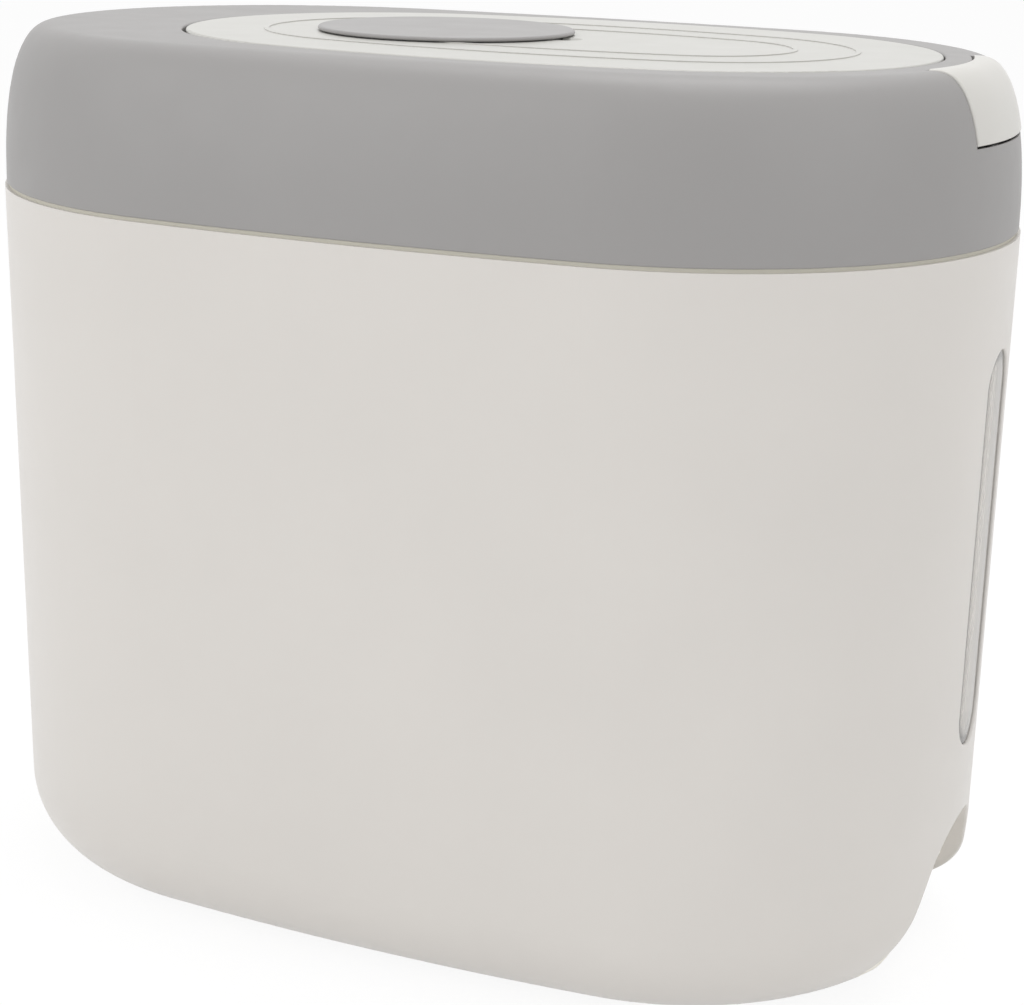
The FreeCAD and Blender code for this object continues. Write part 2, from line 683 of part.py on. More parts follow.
def dome(name, inset):
    """The collar's outside, a superelliptic shoulder, set in by a distance."""
    sections = []
    for share in DOME_STEPS:
        turned_in = 1 - (1 - as_size(share) ** dome_power) ** (1 / dome_power)
        half_len = collar_plan.half_len - (collar_plan.half_len - top_plan.half_len) * turned_in
        half_wid = collar_plan.half_wid - (collar_plan.half_wid - top_plan.half_wid) * turned_in
        radius = collar_plan.radius - (collar_plan.radius - top_plan.radius) * turned_in
        plan = Oval(0, half_len - inset, half_wid - inset, radius - inset)
        sections.append((plan, collar_low + (collar_ht - inset) * share))
    return loft(name, sections)


ROUND_STEPS = (0, 12, 25, 40, 57, 75, 90)   # degrees round the body's lower edge


def plan_at(z, inset):
    """The body's drafted outline at a height, set in by a distance."""
    share = (z - foot_proud) / (rim_z - foot_proud)
    half_len = base_plan.half_len + (rim_plan.half_len - base_plan.half_len) * share
    half_wid = base_plan.half_wid + (rim_plan.half_wid - base_plan.half_wid) * share
    radius = base_plan.radius + (rim_plan.radius - base_plan.radius) * share
    return Oval(0, half_len - inset, half_wid - inset, radius - inset)


def tub(name, inset, low, high):
    """The body's outside, set in by a distance, with its lower edge turned under."""
    corner = base_round - inset
    sections = []
    for step in ROUND_STEPS:
        across = math.sin(math.radians(step))
        up = 1 - math.cos(math.radians(step))
        z = low + corner * up
        sections.append((plan_at(z, inset + corner * (1 - across)), z))
    turn = loft(name + "_turn", sections)
    knee = low + corner
    side = loft(name + "_side", [(plan_at(knee, inset), knee), (plan_at(high, inset), high)])
    return fuse(name, turn, side)


def round_edges(body, name, base, radius, chosen):
    """Round the edges of a feature that a test picks."""
    edges = ["Edge%d" % (i + 1) for i, e in enumerate(base.Shape.Edges) if chosen(e)]
    rounding = body.newObject("PartDesign::Fillet", name)
    rounding.Base = (base, edges)
    bind(rounding, "Radius", radius)
    body.Tip = rounding
    doc.recompute()
    return rounding


def middle(edge):
    """The point halfway along an edge."""
    first, last = edge.ParameterRange
    return edge.valueAt((first + last) / 2)


def ease(name, base, *rules):
    """A finished solid with edges rounded: each rule is a radius and a test of an edge's middle."""
    doc.recompute()
    chosen = []
    for number, edge in enumerate(base.Shape.Edges, 1):
        for radius, wanted in rules:
            if wanted(middle(edge)):
                chosen.append((number, radius.number, radius.number))
                break
    item = doc.addObject("Part::Fillet", name)
    item.Base = base
    item.Edges = chosen
    return item


def pad(body, name, sketch, length):
    step = body.newObject("PartDesign::Pad", name)
    step.Profile = sketch
    bind(step, "Length", length)
    body.Tip = step
    doc.recompute()
    return step


def pocket(body, name, sketch, length, flipped=False):
    step = body.newObject("PartDesign::Pocket", name)
    step.Profile = sketch
    step.Reversed = flipped
    bind(step, "Length", length)
    body.Tip = step
    doc.recompute()
    return step


def turned(name, points):
    """A turned piece as a part-design body: a half section revolved about the upright axis."""
    body = doc.addObject("PartDesign::Body", name)
    sketch = new_sketch(name + "_section", body, "XZ_Plane", zero)
    draw_outline(sketch, points)
    lathe = body.newObject("PartDesign::Revolution", name + "_turning")
    lathe.Profile = sketch
    lathe.ReferenceAxis = (sketch, ["V_Axis"])
    lathe.Angle = 360
    body.Tip = lathe
    doc.recompute()
    return body


def screw(name, axis, seat, length, up):
    """A pan-head screw. Its head lies on the seat and its shank runs the way of `up`."""
    along = "xyz".index(axis)
    start = list(seat)
    head = list(seat)
    if up:
        head[along] = seat[along] - head_ht
    else:
        start[along] = seat[along] - length
    shank = rod(name + "_shank", axis, shank_rad, start, length)
    top = rod(name + "_head", axis, head_rad, head, head_ht)
    return fuse(name, shank, top)


def coil(name, axis, radius, wire, start, length, turns):
    """A close-wound coil spring along an axis."""
    line = doc.addObject("Part::Helix", name + "_line")
    bind(line, "Radius", radius)
    bind(line, "Height", length)
    bind(line, "Pitch", length / turns)
    place(line, *start, TURN[axis])
    ring = doc.addObject("Part::Circle", name + "_wire")
    bind(ring, "Radius", wire)
    offset = TURN[axis].multVec(Vector(radius.number, 0, 0))
    tilt = TURN[axis].multiply(Rotation(Vector(1, 0, 0), -90))
    place(ring, start[0] + offset.x, start[1] + offset.y, start[2] + offset.z, tilt)
    swept = doc.addObject("Part::Sweep", name)
    swept.Sections = [ring]
    swept.Spine = (line, ["Edge1"])
    swept.Solid = True
    swept.Frenet = True
    return swept


# ---------------------------------------------------------------------------------------------
# Body: drafted oval bucket, arched recess, window slot, foot recesses and snap catches
# ---------------------------------------------------------------------------------------------

front_end = end_x + 10
side_end = body_wid / 2 + 10
frame_back = pane_x - pane_flange_th - frame_th
ear_spots = [(side * (slot_wid / 2 + ear_out), z)
             for side in (-1, 1) for z in (slot_low + ear_up, slot_high - ear_up)]
foot_spots = [(sx * foot_x, sy * foot_y) for sx in (-1, 1) for sy in (-1, 1)]
bay_spots = [(x, side * bay_screw_y)
             for x in (bay_back + bay_screw_in, panel_x - bay_screw_back) for side in (-1, 1)]
hopper_spots = [(end * hopper_screw_x, side * (rib_y + rib_screw_out))
                for end in (-1, 1) for side in (-1, 1)]
clip_top = collar_low - skirt_deep
catch_low = clip_top - clip_deep + clip_barb + 0.4


def clip_zones(name, low, high):
    """The six places round the rim where the collar snaps to the body."""
    left = box(name + "_rear_pair", (-clip_x - clip_wid / 2, -side_end, low),
               (-clip_x + clip_wid / 2, side_end, high))
    right = box(name + "_front_pair", (clip_x - clip_wid / 2, -side_end, low),
                (clip_x + clip_wid / 2, side_end, high))
    ends = box(name + "_ends", (-front_end, -clip_wid / 2, low), (front_end, clip_wid / 2, high))
    return fuse(name, left, right, ends)


outside = tub("body_outside", zero, foot_proud, rim_z)
inside = tub("body_inside", wall, floor_z, rim_z + over)
sleeve = common("recess_lining",
                arch_block("lining_block", arch_wall, foot_proud + 0.5, bay_front, front_end),
                outside)
catches = common("wall_catches",
                 cut("catch_ring", bucket("catch_outer", wall - 1),
                     bucket("catch_inner", wall + catch_in)),
                 clip_zones("catch_zones", catch_low, catch_low + catch_ht))
window_bosses = common("window_bosses",
                       fuse("window_boss_rods",
                            *[rod("window_boss_%d" % i, "x", ear_rad - 0.6,
                                  (pane_x - pane_flange_th, y, z), front_end - pane_x)
                              for i, (y, z) in enumerate(ear_spots)]),
                       bucket("window_boss_limit", wall / 2))
body_holes = [arch_block("recess", zero, floor_z, bay_front, front_end),
              box("drawer_way", (plate_back - 3.5, -bay_half, floor_z),
                  (bay_front + over, bay_half, bay_roof)),
              slot_block("window_slot", zero, bay_front, front_end)]
body_holes += [rod("foot_hole_%d" % i, "z", foot_rad + hole_gap, (x, y, foot_proud - over),
                   foot_sink + over) for i, (x, y) in enumerate(foot_spots)]
body_holes += [rod("window_pilot_%d" % i, "x", screw_hole,
                   (pane_x - pane_flange_th - over, y, z), 4 + over)
               for i, (y, z) in enumerate(ear_spots)]
for i, (x, y) in enumerate(bay_spots + hopper_spots):
    body_holes.append(rod("base_hole_%d" % i, "z", screw_hole, (x, y, zero), floor_z + over))
    body_holes.append(rod("base_sink_%d" % i, "z", head_rad + 0.2, (x, y, zero),
                          foot_proud + head_ht - 0.2))
shell = cut("body_bucket", outside, inside)
body_cut = cut("body_cut", fuse("body_with_lining", shell, sleeve, catches, window_bosses),
               *body_holes)
slot_rad = slot_wid.number / 2
spring_z = (arch_mid + arch_rad / slant).number
apex = (arch_mid + arch_rad * slant).number + 0.2   # where the recess's sides would meet
keep(ease("body_shell", body_cut,
          (edge_soft, lambda m: m.z > slot_low.number - 0.5 and m.z < slot_high.number + 0.5
           and abs(m.y) < slot_rad + 0.1 and m.x > end_x.number - pane_deep.number / 2),
          (edge_soft, lambda m: floor_z.number + 1 < m.z < arch_top.number + 0.1
           and abs(m.y) * arch_steep.number < apex - m.z and m.x > bay_front.number + 5
           and abs(m.z - spring_z) > 1)), "body_shell")

# ---------------------------------------------------------------------------------------------
# Feet and base screws
# ---------------------------------------------------------------------------------------------

for (x, y), label in zip(foot_spots, ("foot_rear_right", "foot_rear_left",
                                      "foot_front_right", "foot_front_left")):
    tall = foot_proud + foot_sink
    foot = turned(label, [(0, 0), (foot_rad - 0.6, 0), (foot_rad, 0.6), (foot_rad, tall), (0, tall)])
    place(foot, x, y, zero)
    keep(foot, label)

seat = foot_proud + head_ht - 0.2
base_screw = floor_z - seat + long_bite
keep(group("bay_screws", [screw("bay_screw_%d" % i, "z", (x, y, seat), base_screw, True)
                          for i, (x, y) in enumerate(bay_spots)]), "bay_screws")
keep(group("hopper_screws", [screw("hopper_screw_%d" % i, "z", (x, y, seat), base_screw, True)
                             for i, (x, y) in enumerate(hopper_spots)]), "hopper_screws")

# ---------------------------------------------------------------------------------------------
# Level window: pane, its gasket, the clamping frame and four screws
# ---------------------------------------------------------------------------------------------

flange_back = pane_x - pane_flange_th
plug = common("pane_plug", slot_block("pane_plug_block", -fit_gap, pane_x - 0.5, front_end),
              bucket("pane_face", pane_in))
flange = slot_block("pane_flange", pane_flange, flange_back, pane_x)
keep(fuse("window_pane", plug, flange), "window_pane")

gasket_ring = cut("window_gasket_ring",
                  slot_block("window_gasket_outer", pane_flange, pane_x, front_end),
                  slot_block("window_gasket_inner", as_size(0.8), pane_x - over, front_end + over))
keep(common("window_gasket", gasket_ring, bucket("window_gasket_face", wall + hole_gap)),
     "window_gasket")

ears = [rod("frame_ear_%d" % i, "x", ear_rad, (frame_back, y, z), frame_th)
        for i, (y, z) in enumerate(ear_spots)]
bridges = [box("frame_bridge_%d" % i,
               (frame_back, -(slot_wid / 2 + ear_out), z - ear_rad),
               (flange_back, slot_wid / 2 + ear_out, z + ear_rad))
           for i, z in enumerate((slot_low + ear_up, slot_high - ear_up))]
frame_plate = fuse("frame_plate", slot_block("frame_block", frame_rim, frame_back, flange_back),
                   *ears, *bridges)
frame_holes = [rod("frame_hole_%d" % i, "x", screw_hole, (frame_back - over, y, z),
                   frame_th + 2 * over) for i, (y, z) in enumerate(ear_spots)]
keep(cut("window_frame", frame_plate,
         slot_block("frame_light", as_size(-1), frame_back - over, flange_back + over),
         *frame_holes), "window_frame")
keep(group("window_screws",
           [screw("window_screw_%d" % i, "x", (frame_back, y, z), frame_th + 1.5 * bite, True)
            for i, (y, z) in enumerate(ear_spots)]), "window_screws")

# ---------------------------------------------------------------------------------------------
# Drawer bay with its two runner strips
# ---------------------------------------------------------------------------------------------

lug_x = drawer_back + drawer_round + 2
peg_x = lug_x + peg_len + travel + stop_gap
spout_side = outlet_half + ramp_th + fit_gap
channel = box("bay_channel", (bay_back, -outer_half, floor_z), (bay_front - 0.5, outer_half, bay_top))
front_plate = arch_block("bay_plate", arch_wall, floor_z, plate_back, bay_front)
bay_bosses = [rod("bay_boss_%d" % i, "z", bay_screw_out + 0.4, (x, y, floor_z), boss_ht)
              for i, (x, y) in enumerate(bay_spots)]
bay_hollow = box("bay_hollow", (bay_back + bay_wall, -bay_half, floor_z - over),
                 (bay_front + over, bay_half, bay_roof))
bay_outlet = box("bay_outlet", (outlet_low - ramp_th - fit_gap, -spout_side, bay_roof - over),
                 (outlet_high + ramp_th + fit_gap, spout_side, bay_top + over))
bay_pilots = [rod("bay_pilot_%d" % i, "z", screw_hole, (x, y, floor_z - over), boss_ht)
              for i, (x, y) in enumerate(bay_spots)]
bay_limit = tub("bay_limit", wall + hole_gap, floor_z, rim_z)
bay_body = cut("bay_cut", common("bay_trimmed", fuse("bay_solid", channel, front_plate, *bay_bosses),
                                 bay_limit), bay_hollow, bay_outlet, *bay_pilots)
pegs = [box("stop_peg_%s" % side, (peg_x, low, drawer_low + 6), (peg_x + peg_len, high, drawer_low + 14))
        for side, low, high in (("left", drawer_half + 0.5, bay_half + 0.5),
                                ("right", -bay_half - 0.5, -drawer_half - 0.5))]
keep(fuse("drawer_bay", bay_body, *pegs), "drawer_bay")

runner_top = rim_low - 0.1
for side, label in ((1, "drawer_runner_left"), (-1, "drawer_runner_right")):
    low, high = (bay_half - runner_wid, bay_half) if side > 0 else (-bay_half, -bay_half + runner_wid)
    keep(box(label, (bay_back + bay_wall + 2, low, runner_top - runner_ht),
             (peg_x - 4, high, runner_top)), label)

# ---------------------------------------------------------------------------------------------
# Drawer: measuring box, arched front with its pull, shutter plate and two screws
# ---------------------------------------------------------------------------------------------

drawer = doc.addObject("PartDesign::Body", "drawer_moulding")
plan = new_sketch("drawer_plan", drawer, "XY_Plane", drawer_low)
draw_outline(plan, [(drawer_back, -drawer_half), (panel_x, -drawer_half),
                    (panel_x, drawer_half), (drawer_back, drawer_half)])
block = pad(drawer, "drawer_block", plan, drawer_top - drawer_low)
near_rear = drawer_back.number + 1
round_edges(drawer, "drawer_corners", block, drawer_round,
            lambda e: e.BoundBox.XMax < near_rear and e.BoundBox.ZLength > 5 and e.BoundBox.YLength < 1)
rims = new_sketch("drawer_rims", drawer, "XY_Plane", rim_low)
for low, high in ((-rim_half, -drawer_half + 1), (drawer_half - 1, rim_half)):
    draw_outline(rims, [(drawer_back + drawer_round, low), (panel_x - 6, low),
                        (panel_x - 6, high), (drawer_back + drawer_round, high)])
pad(drawer, "drawer_rim", rims, rim_th)
lugs = new_sketch("drawer_lugs", drawer, "XY_Plane", drawer_low + 6.5)
for low, high in ((-rim_half, -drawer_half + 1), (drawer_half - 1, rim_half)):
    draw_outline(lugs, [(lug_x, low), (lug_x + peg_len, low), (lug_x + peg_len, high), (lug_x, high)])
pad(drawer, "drawer_lug", lugs, as_size(7))
hollow = new_sketch("drawer_hollow", drawer, "XY_Plane", drawer_top)
inner_half = drawer_half - drawer_wall
draw_outline(hollow, [(drawer_back + drawer_wall, -inner_half), (panel_x - drawer_wall, -inner_half),
                      (panel_x - drawer_wall, inner_half), (drawer_back + drawer_wall, inner_half)])
well = pocket(drawer, "drawer_well", hollow, drawer_top - drawer_low - drawer_wall)
low_z = drawer_low.number + drawer_wall.number
across = 2 * inner_half.number + 0.1
round_edges(drawer, "drawer_scoop", well, drawer_round - drawer_wall,
            lambda e: abs(e.BoundBox.ZMin - low_z) < 0.01 and e.BoundBox.YLength < across
            and e.BoundBox.XMin > drawer_back.number + 1 and e.BoundBox.ZMax < drawer_top.number + 0.01
            and (e.BoundBox.ZLength > 5 or e.BoundBox.ZLength < 0.01))
screw_y = as_size(20)
screw_z = drawer_low + 12
holes = [rod("drawer_hole_%d" % i, "x", screw_hole, (panel_x - drawer_wall - over, s * screw_y, screw_z),
             drawer_wall + 2 * over) for i, s in enumerate((-1, 1))]
keep(cut("drawer_box_drilled", drawer, *holes), "drawer_box")

pull = doc.addObject("PartDesign::Body", "drawer_pull")
pull_plan = new_sketch("pull_plan", pull, "XY_Plane", pull_z)
draw_outline(pull_plan, [(front_x - 1, -pull_wid / 2), (front_x + pull_out, -pull_wid / 2),
                         (front_x + pull_out, pull_wid / 2), (front_x - 1, pull_wid / 2)])
bar = pad(pull, "pull_bar", pull_plan, pull_th)
tip = front_x.number + pull_out.number - 1
corner = round_edges(pull, "pull_corners", bar, as_size(5),
                     lambda e: e.BoundBox.XMin > tip and e.BoundBox.ZLength > 1)
round_edges(pull, "pull_edges", corner, as_size(1.2),
            lambda e: e.BoundBox.ZLength < 0.01 and e.BoundBox.XMax > front_x.number + 0.5)
panel = common("front_panel", arch_block("front_block", -front_gap, floor_z + front_gap,
                                         panel_x, front_x),
               tub("front_limit", front_gap, foot_proud, rim_z))
lip = box("pull_lip", (front_x + pull_out - 2.4, -pull_wid / 2 + 5, pull_z - 2),
          (front_x + pull_out - 0.6, pull_wid / 2 - 5, pull_z + 1))
pilots = [rod("front_pilot_%d" % i, "x", screw_hole, (panel_x - over, s * screw_y, screw_z),
              front_th - 0.6 + over) for i, s in enumerate((-1, 1))]
keep(cut("drawer_front", fuse("front_with_pull", panel, pull, lip), *pilots), "drawer_front")
keep(group("drawer_screws",
           [screw("drawer_screw_%d" % i, "x", (panel_x - drawer_wall, s * screw_y, screw_z),
                  drawer_wall + bite, True)
            for i, s in enumerate((-1, 1))]), "drawer_screws")

shutter_back = drawer_back - shutter_len
shutter = box("shutter_plate", (shutter_back, -rim_half, rim_low),
              (drawer_back - 0.1, rim_half, drawer_top))
tab = box("shutter_tab", (drawer_back - 2.1, -drawer_half + drawer_round, drawer_low + 8),
          (drawer_back - 0.1, drawer_half - drawer_round, rim_low + 0.5))
keep(fuse("flow_shutter", shutter, tab), "flow_shutter")

# ---------------------------------------------------------------------------------------------
# Hopper: four ramps down to the outlet, on two standing ribs
# ---------------------------------------------------------------------------------------------

climb = ramp_top - mouth_z


def ramp_block(name, spread, low_spread):
    """The solid that the four ramps bound, grown by the skin's sideways offsets."""
    steep = root(1 + ramp_rise * ramp_rise) / ramp_rise
    slope = root(1 + side_rise * side_rise) / side_rise
    sharp = root(1 + front_rise * front_rise) / front_rise
    back = spread * steep
    side = spread * slope
    front = spread * sharp
    solid = doc.addObject("Part::Loft", name)
    rings = []
    for i, rise in enumerate((zero, climb)):
        sketch = new_sketch("%s_plan_%d" % (name, i), None, None, None)
        x0 = outlet_low - back - rise / ramp_rise
        x1 = outlet_high + front + rise / front_rise
        y = outlet_half + side + rise / side_rise
        draw_outline(sketch, [(x0, -y), (x1, -y), (x1, y), (x0, y)])
        place(sketch, 0, 0, mouth_z + rise - low_spread)
        rings.append(sketch)
    solid.Sections = rings
    solid.Solid = True
    solid.Ruled = True
    return solid


hopper_limit = tub("hopper_limit", wall + 0.4, floor_z, rim_z)
ribs = [box("hopper_rib_%s" % side, (rib_back, y - ramp_th / 2, floor_z),
            (rib_front, y + ramp_th / 2, ramp_top - over))
        for side, y in (("left", rib_y), ("right", -rib_y))]
rib_pads = [rod("rib_pad_%d" % i, "z", bay_screw_out, (x, y, floor_z), boss_ht + 2)
            for i, (x, y) in enumerate(hopper_spots)]
pad_webs = [box("rib_web_%d" % i,
                (x - ramp_th / 2, y - rib_screw_out if y.number > 0 else y, floor_z),
                (x + ramp_th / 2, y if y.number > 0 else y + rib_screw_out, floor_z + boss_ht + 2))
            for i, (x, y) in enumerate(hopper_spots)]
window_pocket = box("window_pocket", (well_back - ramp_th, -well_half - ramp_th, well_low),
                    (front_end, well_half + ramp_th, ramp_top - over))
spout = box("hopper_spout", (outlet_low - ramp_th, -outlet_half - ramp_th, bay_roof + fit_gap),
            (outlet_high + ramp_th, outlet_half + ramp_th, mouth_z + 1.5))
solid_hopper = common("hopper_trimmed",
                      fuse("hopper_solid", ramp_block("ramp_outer", ramp_th, zero), *ribs,
                           *rib_pads, *pad_webs, window_pocket, spout), hopper_limit)
outlet = box("hopper_outlet", (outlet_low, -outlet_half, bay_roof - over),
             (outlet_high, outlet_half, mouth_z + over))
pocket_hollow = box("pocket_hollow", (well_back, -well_half, well_low + ramp_th),
                    (front_end + over, well_half, ramp_top + over))
rib_pilots = [rod("rib_pilot_%d" % i, "z", screw_hole, (x, y, floor_z - over), boss_ht)
              for i, (x, y) in enumerate(hopper_spots)]
keep(cut("hopper", solid_hopper, ramp_block("ramp_inner", zero, zero), outlet, pocket_hollow,
         *rib_pilots), "hopper")

# ---------------------------------------------------------------------------------------------
# Collar and its sealing band
# ---------------------------------------------------------------------------------------------

latch_half = latch_wid / 2
pocket_half = latch_half + latch_gap
pocket_x = latch_x - latch_gap
pocket_z = latch_z - latch_drop
skirt_outer = rim_plan.grown(-skirt_in)
skirt_inner = rim_plan.grown(-skirt_in - skirt_th)
lip_plan = opening_plan.grown(well_gap + well_th + well_lip / 2)
lip_spots = lip_plan.six_points(52)

collar_shell = cut("collar_shell", dome("collar_outside", zero), dome("collar_inside", collar_wall))
flange_ring = cut("collar_flange", prism("flange_outer", collar_plan.grown(-1), collar_low,
                                         collar_low + flange_th),
                  prism("flange_inner", skirt_inner, collar_low - over, collar_low + flange_th + over))
skirt_ring = cut("collar_skirt", prism("skirt_outer", skirt_outer, clip_top, collar_low + 1),
                 prism("skirt_inner", skirt_inner, clip_top - over, collar_low + 2))
tongues = common("clip_tongues",
                 cut("tongue_ring", prism("tongue_outer", skirt_outer, clip_top - clip_deep,
                                          clip_top + 1),
                     prism("tongue_inner", skirt_inner, clip_top - clip_deep - over, clip_top + 2)),
                 clip_zones("tongue_zones", clip_top - clip_deep, clip_top + 1))
barbs = common("clip_barbs",
               cut("barb_ring", bucket("barb_outer", wall + 0.4),
                   prism("barb_inner", rim_plan.grown(-skirt_in - 0.5),
                         clip_top - clip_deep - over, clip_top)),
               clip_zones("barb_zones", clip_top - clip_deep, clip_top - clip_deep + clip_barb))
latch_pocket = cut("latch_pocket", box("pocket_block", (lid_front, -pocket_half, pocket_z),
                                       (front_end, pocket_half, top_z + 4)),
                   prism("pocket_heel", lid_plan.grown(latch_band - latch_gap), pocket_z - over,
                         top_z + 5))
rebate = common("latch_rebate", box("rebate_block", (pocket_x, -pocket_half, pocket_z - 1.7),
                                    (front_end, pocket_half, pocket_z + over)),
                dome("rebate_limit", latch_lip))
lip_holes = [rod("lip_pilot_%d" % i, "z", screw_hole, (x, y, skin_z - over), bite + over)
             for i, (x, y) in enumerate(lip_spots)]
ear_screw_x = hinge_x - hub_rad - 8.4
ear_spots_y = (as_size(-12), as_size(12))
lip_holes += [rod("hinge_pilot_%d" % i, "z", screw_hole, (ear_screw_x, y, skin_z - over), bite + over)
              for i, y in enumerate(ear_spots_y)]
collar_cut = cut("collar_cut", fuse("collar_solid", collar_shell, flange_ring, skirt_ring, tongues, barbs),
                 prism("lid_opening", opening_plan, skin_z - 5, top_z + 5), latch_pocket, rebate,
                 *lip_holes)
top_edge = top_z.number - 0.3
hole_x = opening_plan.centre.number
hole_end = hole_x - opening_plan.half_len.number - 1
hole_side = opening_plan.half_wid.number + 1
keep(ease("collar", collar_cut,
          (edge_soft, lambda m: m.z > top_edge and abs(m.y) < 1 and hole_end < m.x < pocket_x.number + 1),
          (edge_soft, lambda m: m.z > top_edge and abs(m.x - hole_x) < 1 and abs(m.y) < hole_side),
          (seam_soft, lambda m: m.z < collar_low.number + 0.1
           and (abs(m.y) > collar_plan.half_wid.number - 1 or abs(m.x) > collar_plan.half_len.number - 1))),
     "collar")

keep(cut("collar_gasket", prism("band_outer", rim_plan.grown(-seam_in), rim_z, collar_low),
         prism("band_inner", rim_plan.grown(-skirt_in + fit_gap), rim_z - over, collar_low + over)),
     "collar_gasket")

# ---------------------------------------------------------------------------------------------
# Filling ring: well under the lid, with its ledge, sealing bead and short skirt
# ---------------------------------------------------------------------------------------------

trough_back = hinge_x - hub_rad - 2.4
trough_front = hinge_x + arm_in + arm_wid + 1.1
trough_low = hinge_z - arm_in - arm_wid - 1.5
box_half = latch_half + 2.7
box_spots = [(box_x + 6, s * (box_half - 5)) for s in (-1, 1)]
well_out = opening_plan.grown(well_gap + well_th)
well_in = opening_plan.grown(well_gap)
ring_wall = prism("well_outer", well_out, ledge_low, lip_top)
ring_lip = prism("well_lip", well_out.grown(well_lip), lip_top - lip_ht, lip_top)
ring_spout = prism("spout_outer", fill_plan.grown(2), ledge_low - spout_ht, ledge_low + 0.5)
ring_bead = cut("seal_bead", prism("bead_outer", fill_plan.grown(bead_in + bead_wid), ledge_z - 0.5,
                                   ledge_z + bead_ht),
                prism("bead_inner", fill_plan.grown(bead_in), ledge_z - over, ledge_z + bead_ht + over))
ring_bosses = [rod("ledge_boss_%d" % i, "z", as_size(3.4), (x, y, ledge_z - 0.5), bite + 1)
               for i, (x, y) in enumerate(box_spots)]
well_space = prism("well_space", well_in, ledge_z, skin_z + over)
fill_hole = prism("fill_hole", fill_plan, ledge_low - spout_ht - over, ledge_z + over)
trough_slot = box("trough_slot", (trough_back - 14, -cheek_y - cheek_th - 0.2, ledge_low - 20),
                  (trough_front + cheek_th + 0.2, cheek_y + cheek_th + 0.2, skin_z + over))
latch_slot = box("latch_slot", (pocket_x - 2.0, -box_half - 0.4, ledge_low - over),
                 (front_end, box_half + 0.4, skin_z + over))
keeper_slot = box("keeper_slot", (hook_x - 0.7, -keeper_wid / 2 - 2, ledge_low - over),
                  (hook_x + 11, keeper_wid / 2 + 2, ledge_z + over))
ring_holes = [rod("lip_hole_%d" % i, "z", screw_hole, (x, y, lip_top - lip_ht - over), lip_ht + 2 * over)
              for i, (x, y) in enumerate(lip_spots)]
ring_holes += [rod("ledge_pilot_%d" % i, "z", screw_hole, (x, y, ledge_low - over), ledge_th + bite + over)
               for i, (x, y) in enumerate(box_spots)]
ring_body = cut("ring_hollowed", fuse("ring_solid", ring_wall, ring_lip, ring_spout), well_space,
                fill_hole)
keep(cut("fill_ring", fuse("ring_with_bead", ring_body, ring_bead, *ring_bosses), trough_slot,
         latch_slot, keeper_slot, *ring_holes), "fill_ring")
keep(group("fill_ring_screws",
           [screw("lip_screw_%d" % i, "z", (x, y, lip_top - lip_ht), lip_ht + bite, True)
            for i, (x, y) in enumerate(lip_spots)]), "fill_ring_screws")

# ---------------------------------------------------------------------------------------------
# Lid hinge: trough behind the filling hole, pin, torsion spring and damper
# ---------------------------------------------------------------------------------------------

cheek_out = cheek_y + cheek_th
mid_x = lid_x - lid_len / 2 - 3
trough_block = box("trough_block", (trough_back - cheek_th, -cheek_out, trough_low - cheek_th),
                   (trough_front + cheek_th, cheek_out, lip_top))
trough_ear = box("trough_ear", (trough_back - 9.8, -cheek_out, lip_top - lip_ht),
                 (trough_back, cheek_out, lip_top))
trough_space = box("trough_space", (trough_back, -cheek_y, trough_low),
                   (trough_front, cheek_y, skin_z + over))
above_cheeks = box("above_cheeks", (mid_x, -cheek_out - over, cover_z - 4),
                   (trough_front + 5, cheek_out + over, skin_z + over))
above_front = box("above_front", (trough_front - 0.5, -cheek_out - over, tray_low - 0.6),
                  (trough_front + 5, cheek_out + over, skin_z + over))
pin_bore = rod("pin_bore", "y", pin_rad + hole_gap, (hinge_x, -cheek_out - over, hinge_z),
               2 * cheek_out + 2 * over)
ear_bores = [rod("ear_bore_%d" % i, "z", screw_hole, (ear_screw_x, y, lip_top - lip_ht - over),
                 lip_ht + 2 * over) for i, y in enumerate(ear_spots_y)]
keep(cut("hinge_housing", fuse("trough_solid", trough_block, trough_ear), trough_space,
         above_cheeks, above_front, pin_bore, *ear_bores), "hinge_housing")
keep(group("hinge_screws",
           [screw("hinge_screw_%d" % i, "z", (ear_screw_x, y, lip_top - lip_ht), lip_ht + bite, True)
            for i, y in enumerate(ear_spots_y)]), "hinge_screws")
keep(rod("hinge_pin", "y", pin_rad, (hinge_x, -cheek_out - 1.2, hinge_z), 2 * cheek_out + 2.4),
     "hinge_pin")
damper = cut("damper_body", rod("damper_drum", "y", damper_rad, (hinge_x, cheek_out + 0.2, hinge_z),
                                damper_len),
             rod("damper_bore", "y", pin_rad + 0.3, (hinge_x, cheek_out - over, hinge_z), 4))
keep(damper, "lid_damper")
wound = coil("lid_spring_coil", "y", coil_rad, coil_wire, (hinge_x, -coil_len / 2, hinge_z),
             coil_len, 8)
leg = rod("lid_spring_leg", "z", coil_wire, (hinge_x - coil_rad, -coil_len / 2, trough_low + 0.1),
          hinge_z - trough_low)
keep(group("lid_spring", [wound, leg]), "lid_spring")

# ---------------------------------------------------------------------------------------------
# Lid: cover, tray with hinge arms and keeper, seal and screws
# ---------------------------------------------------------------------------------------------

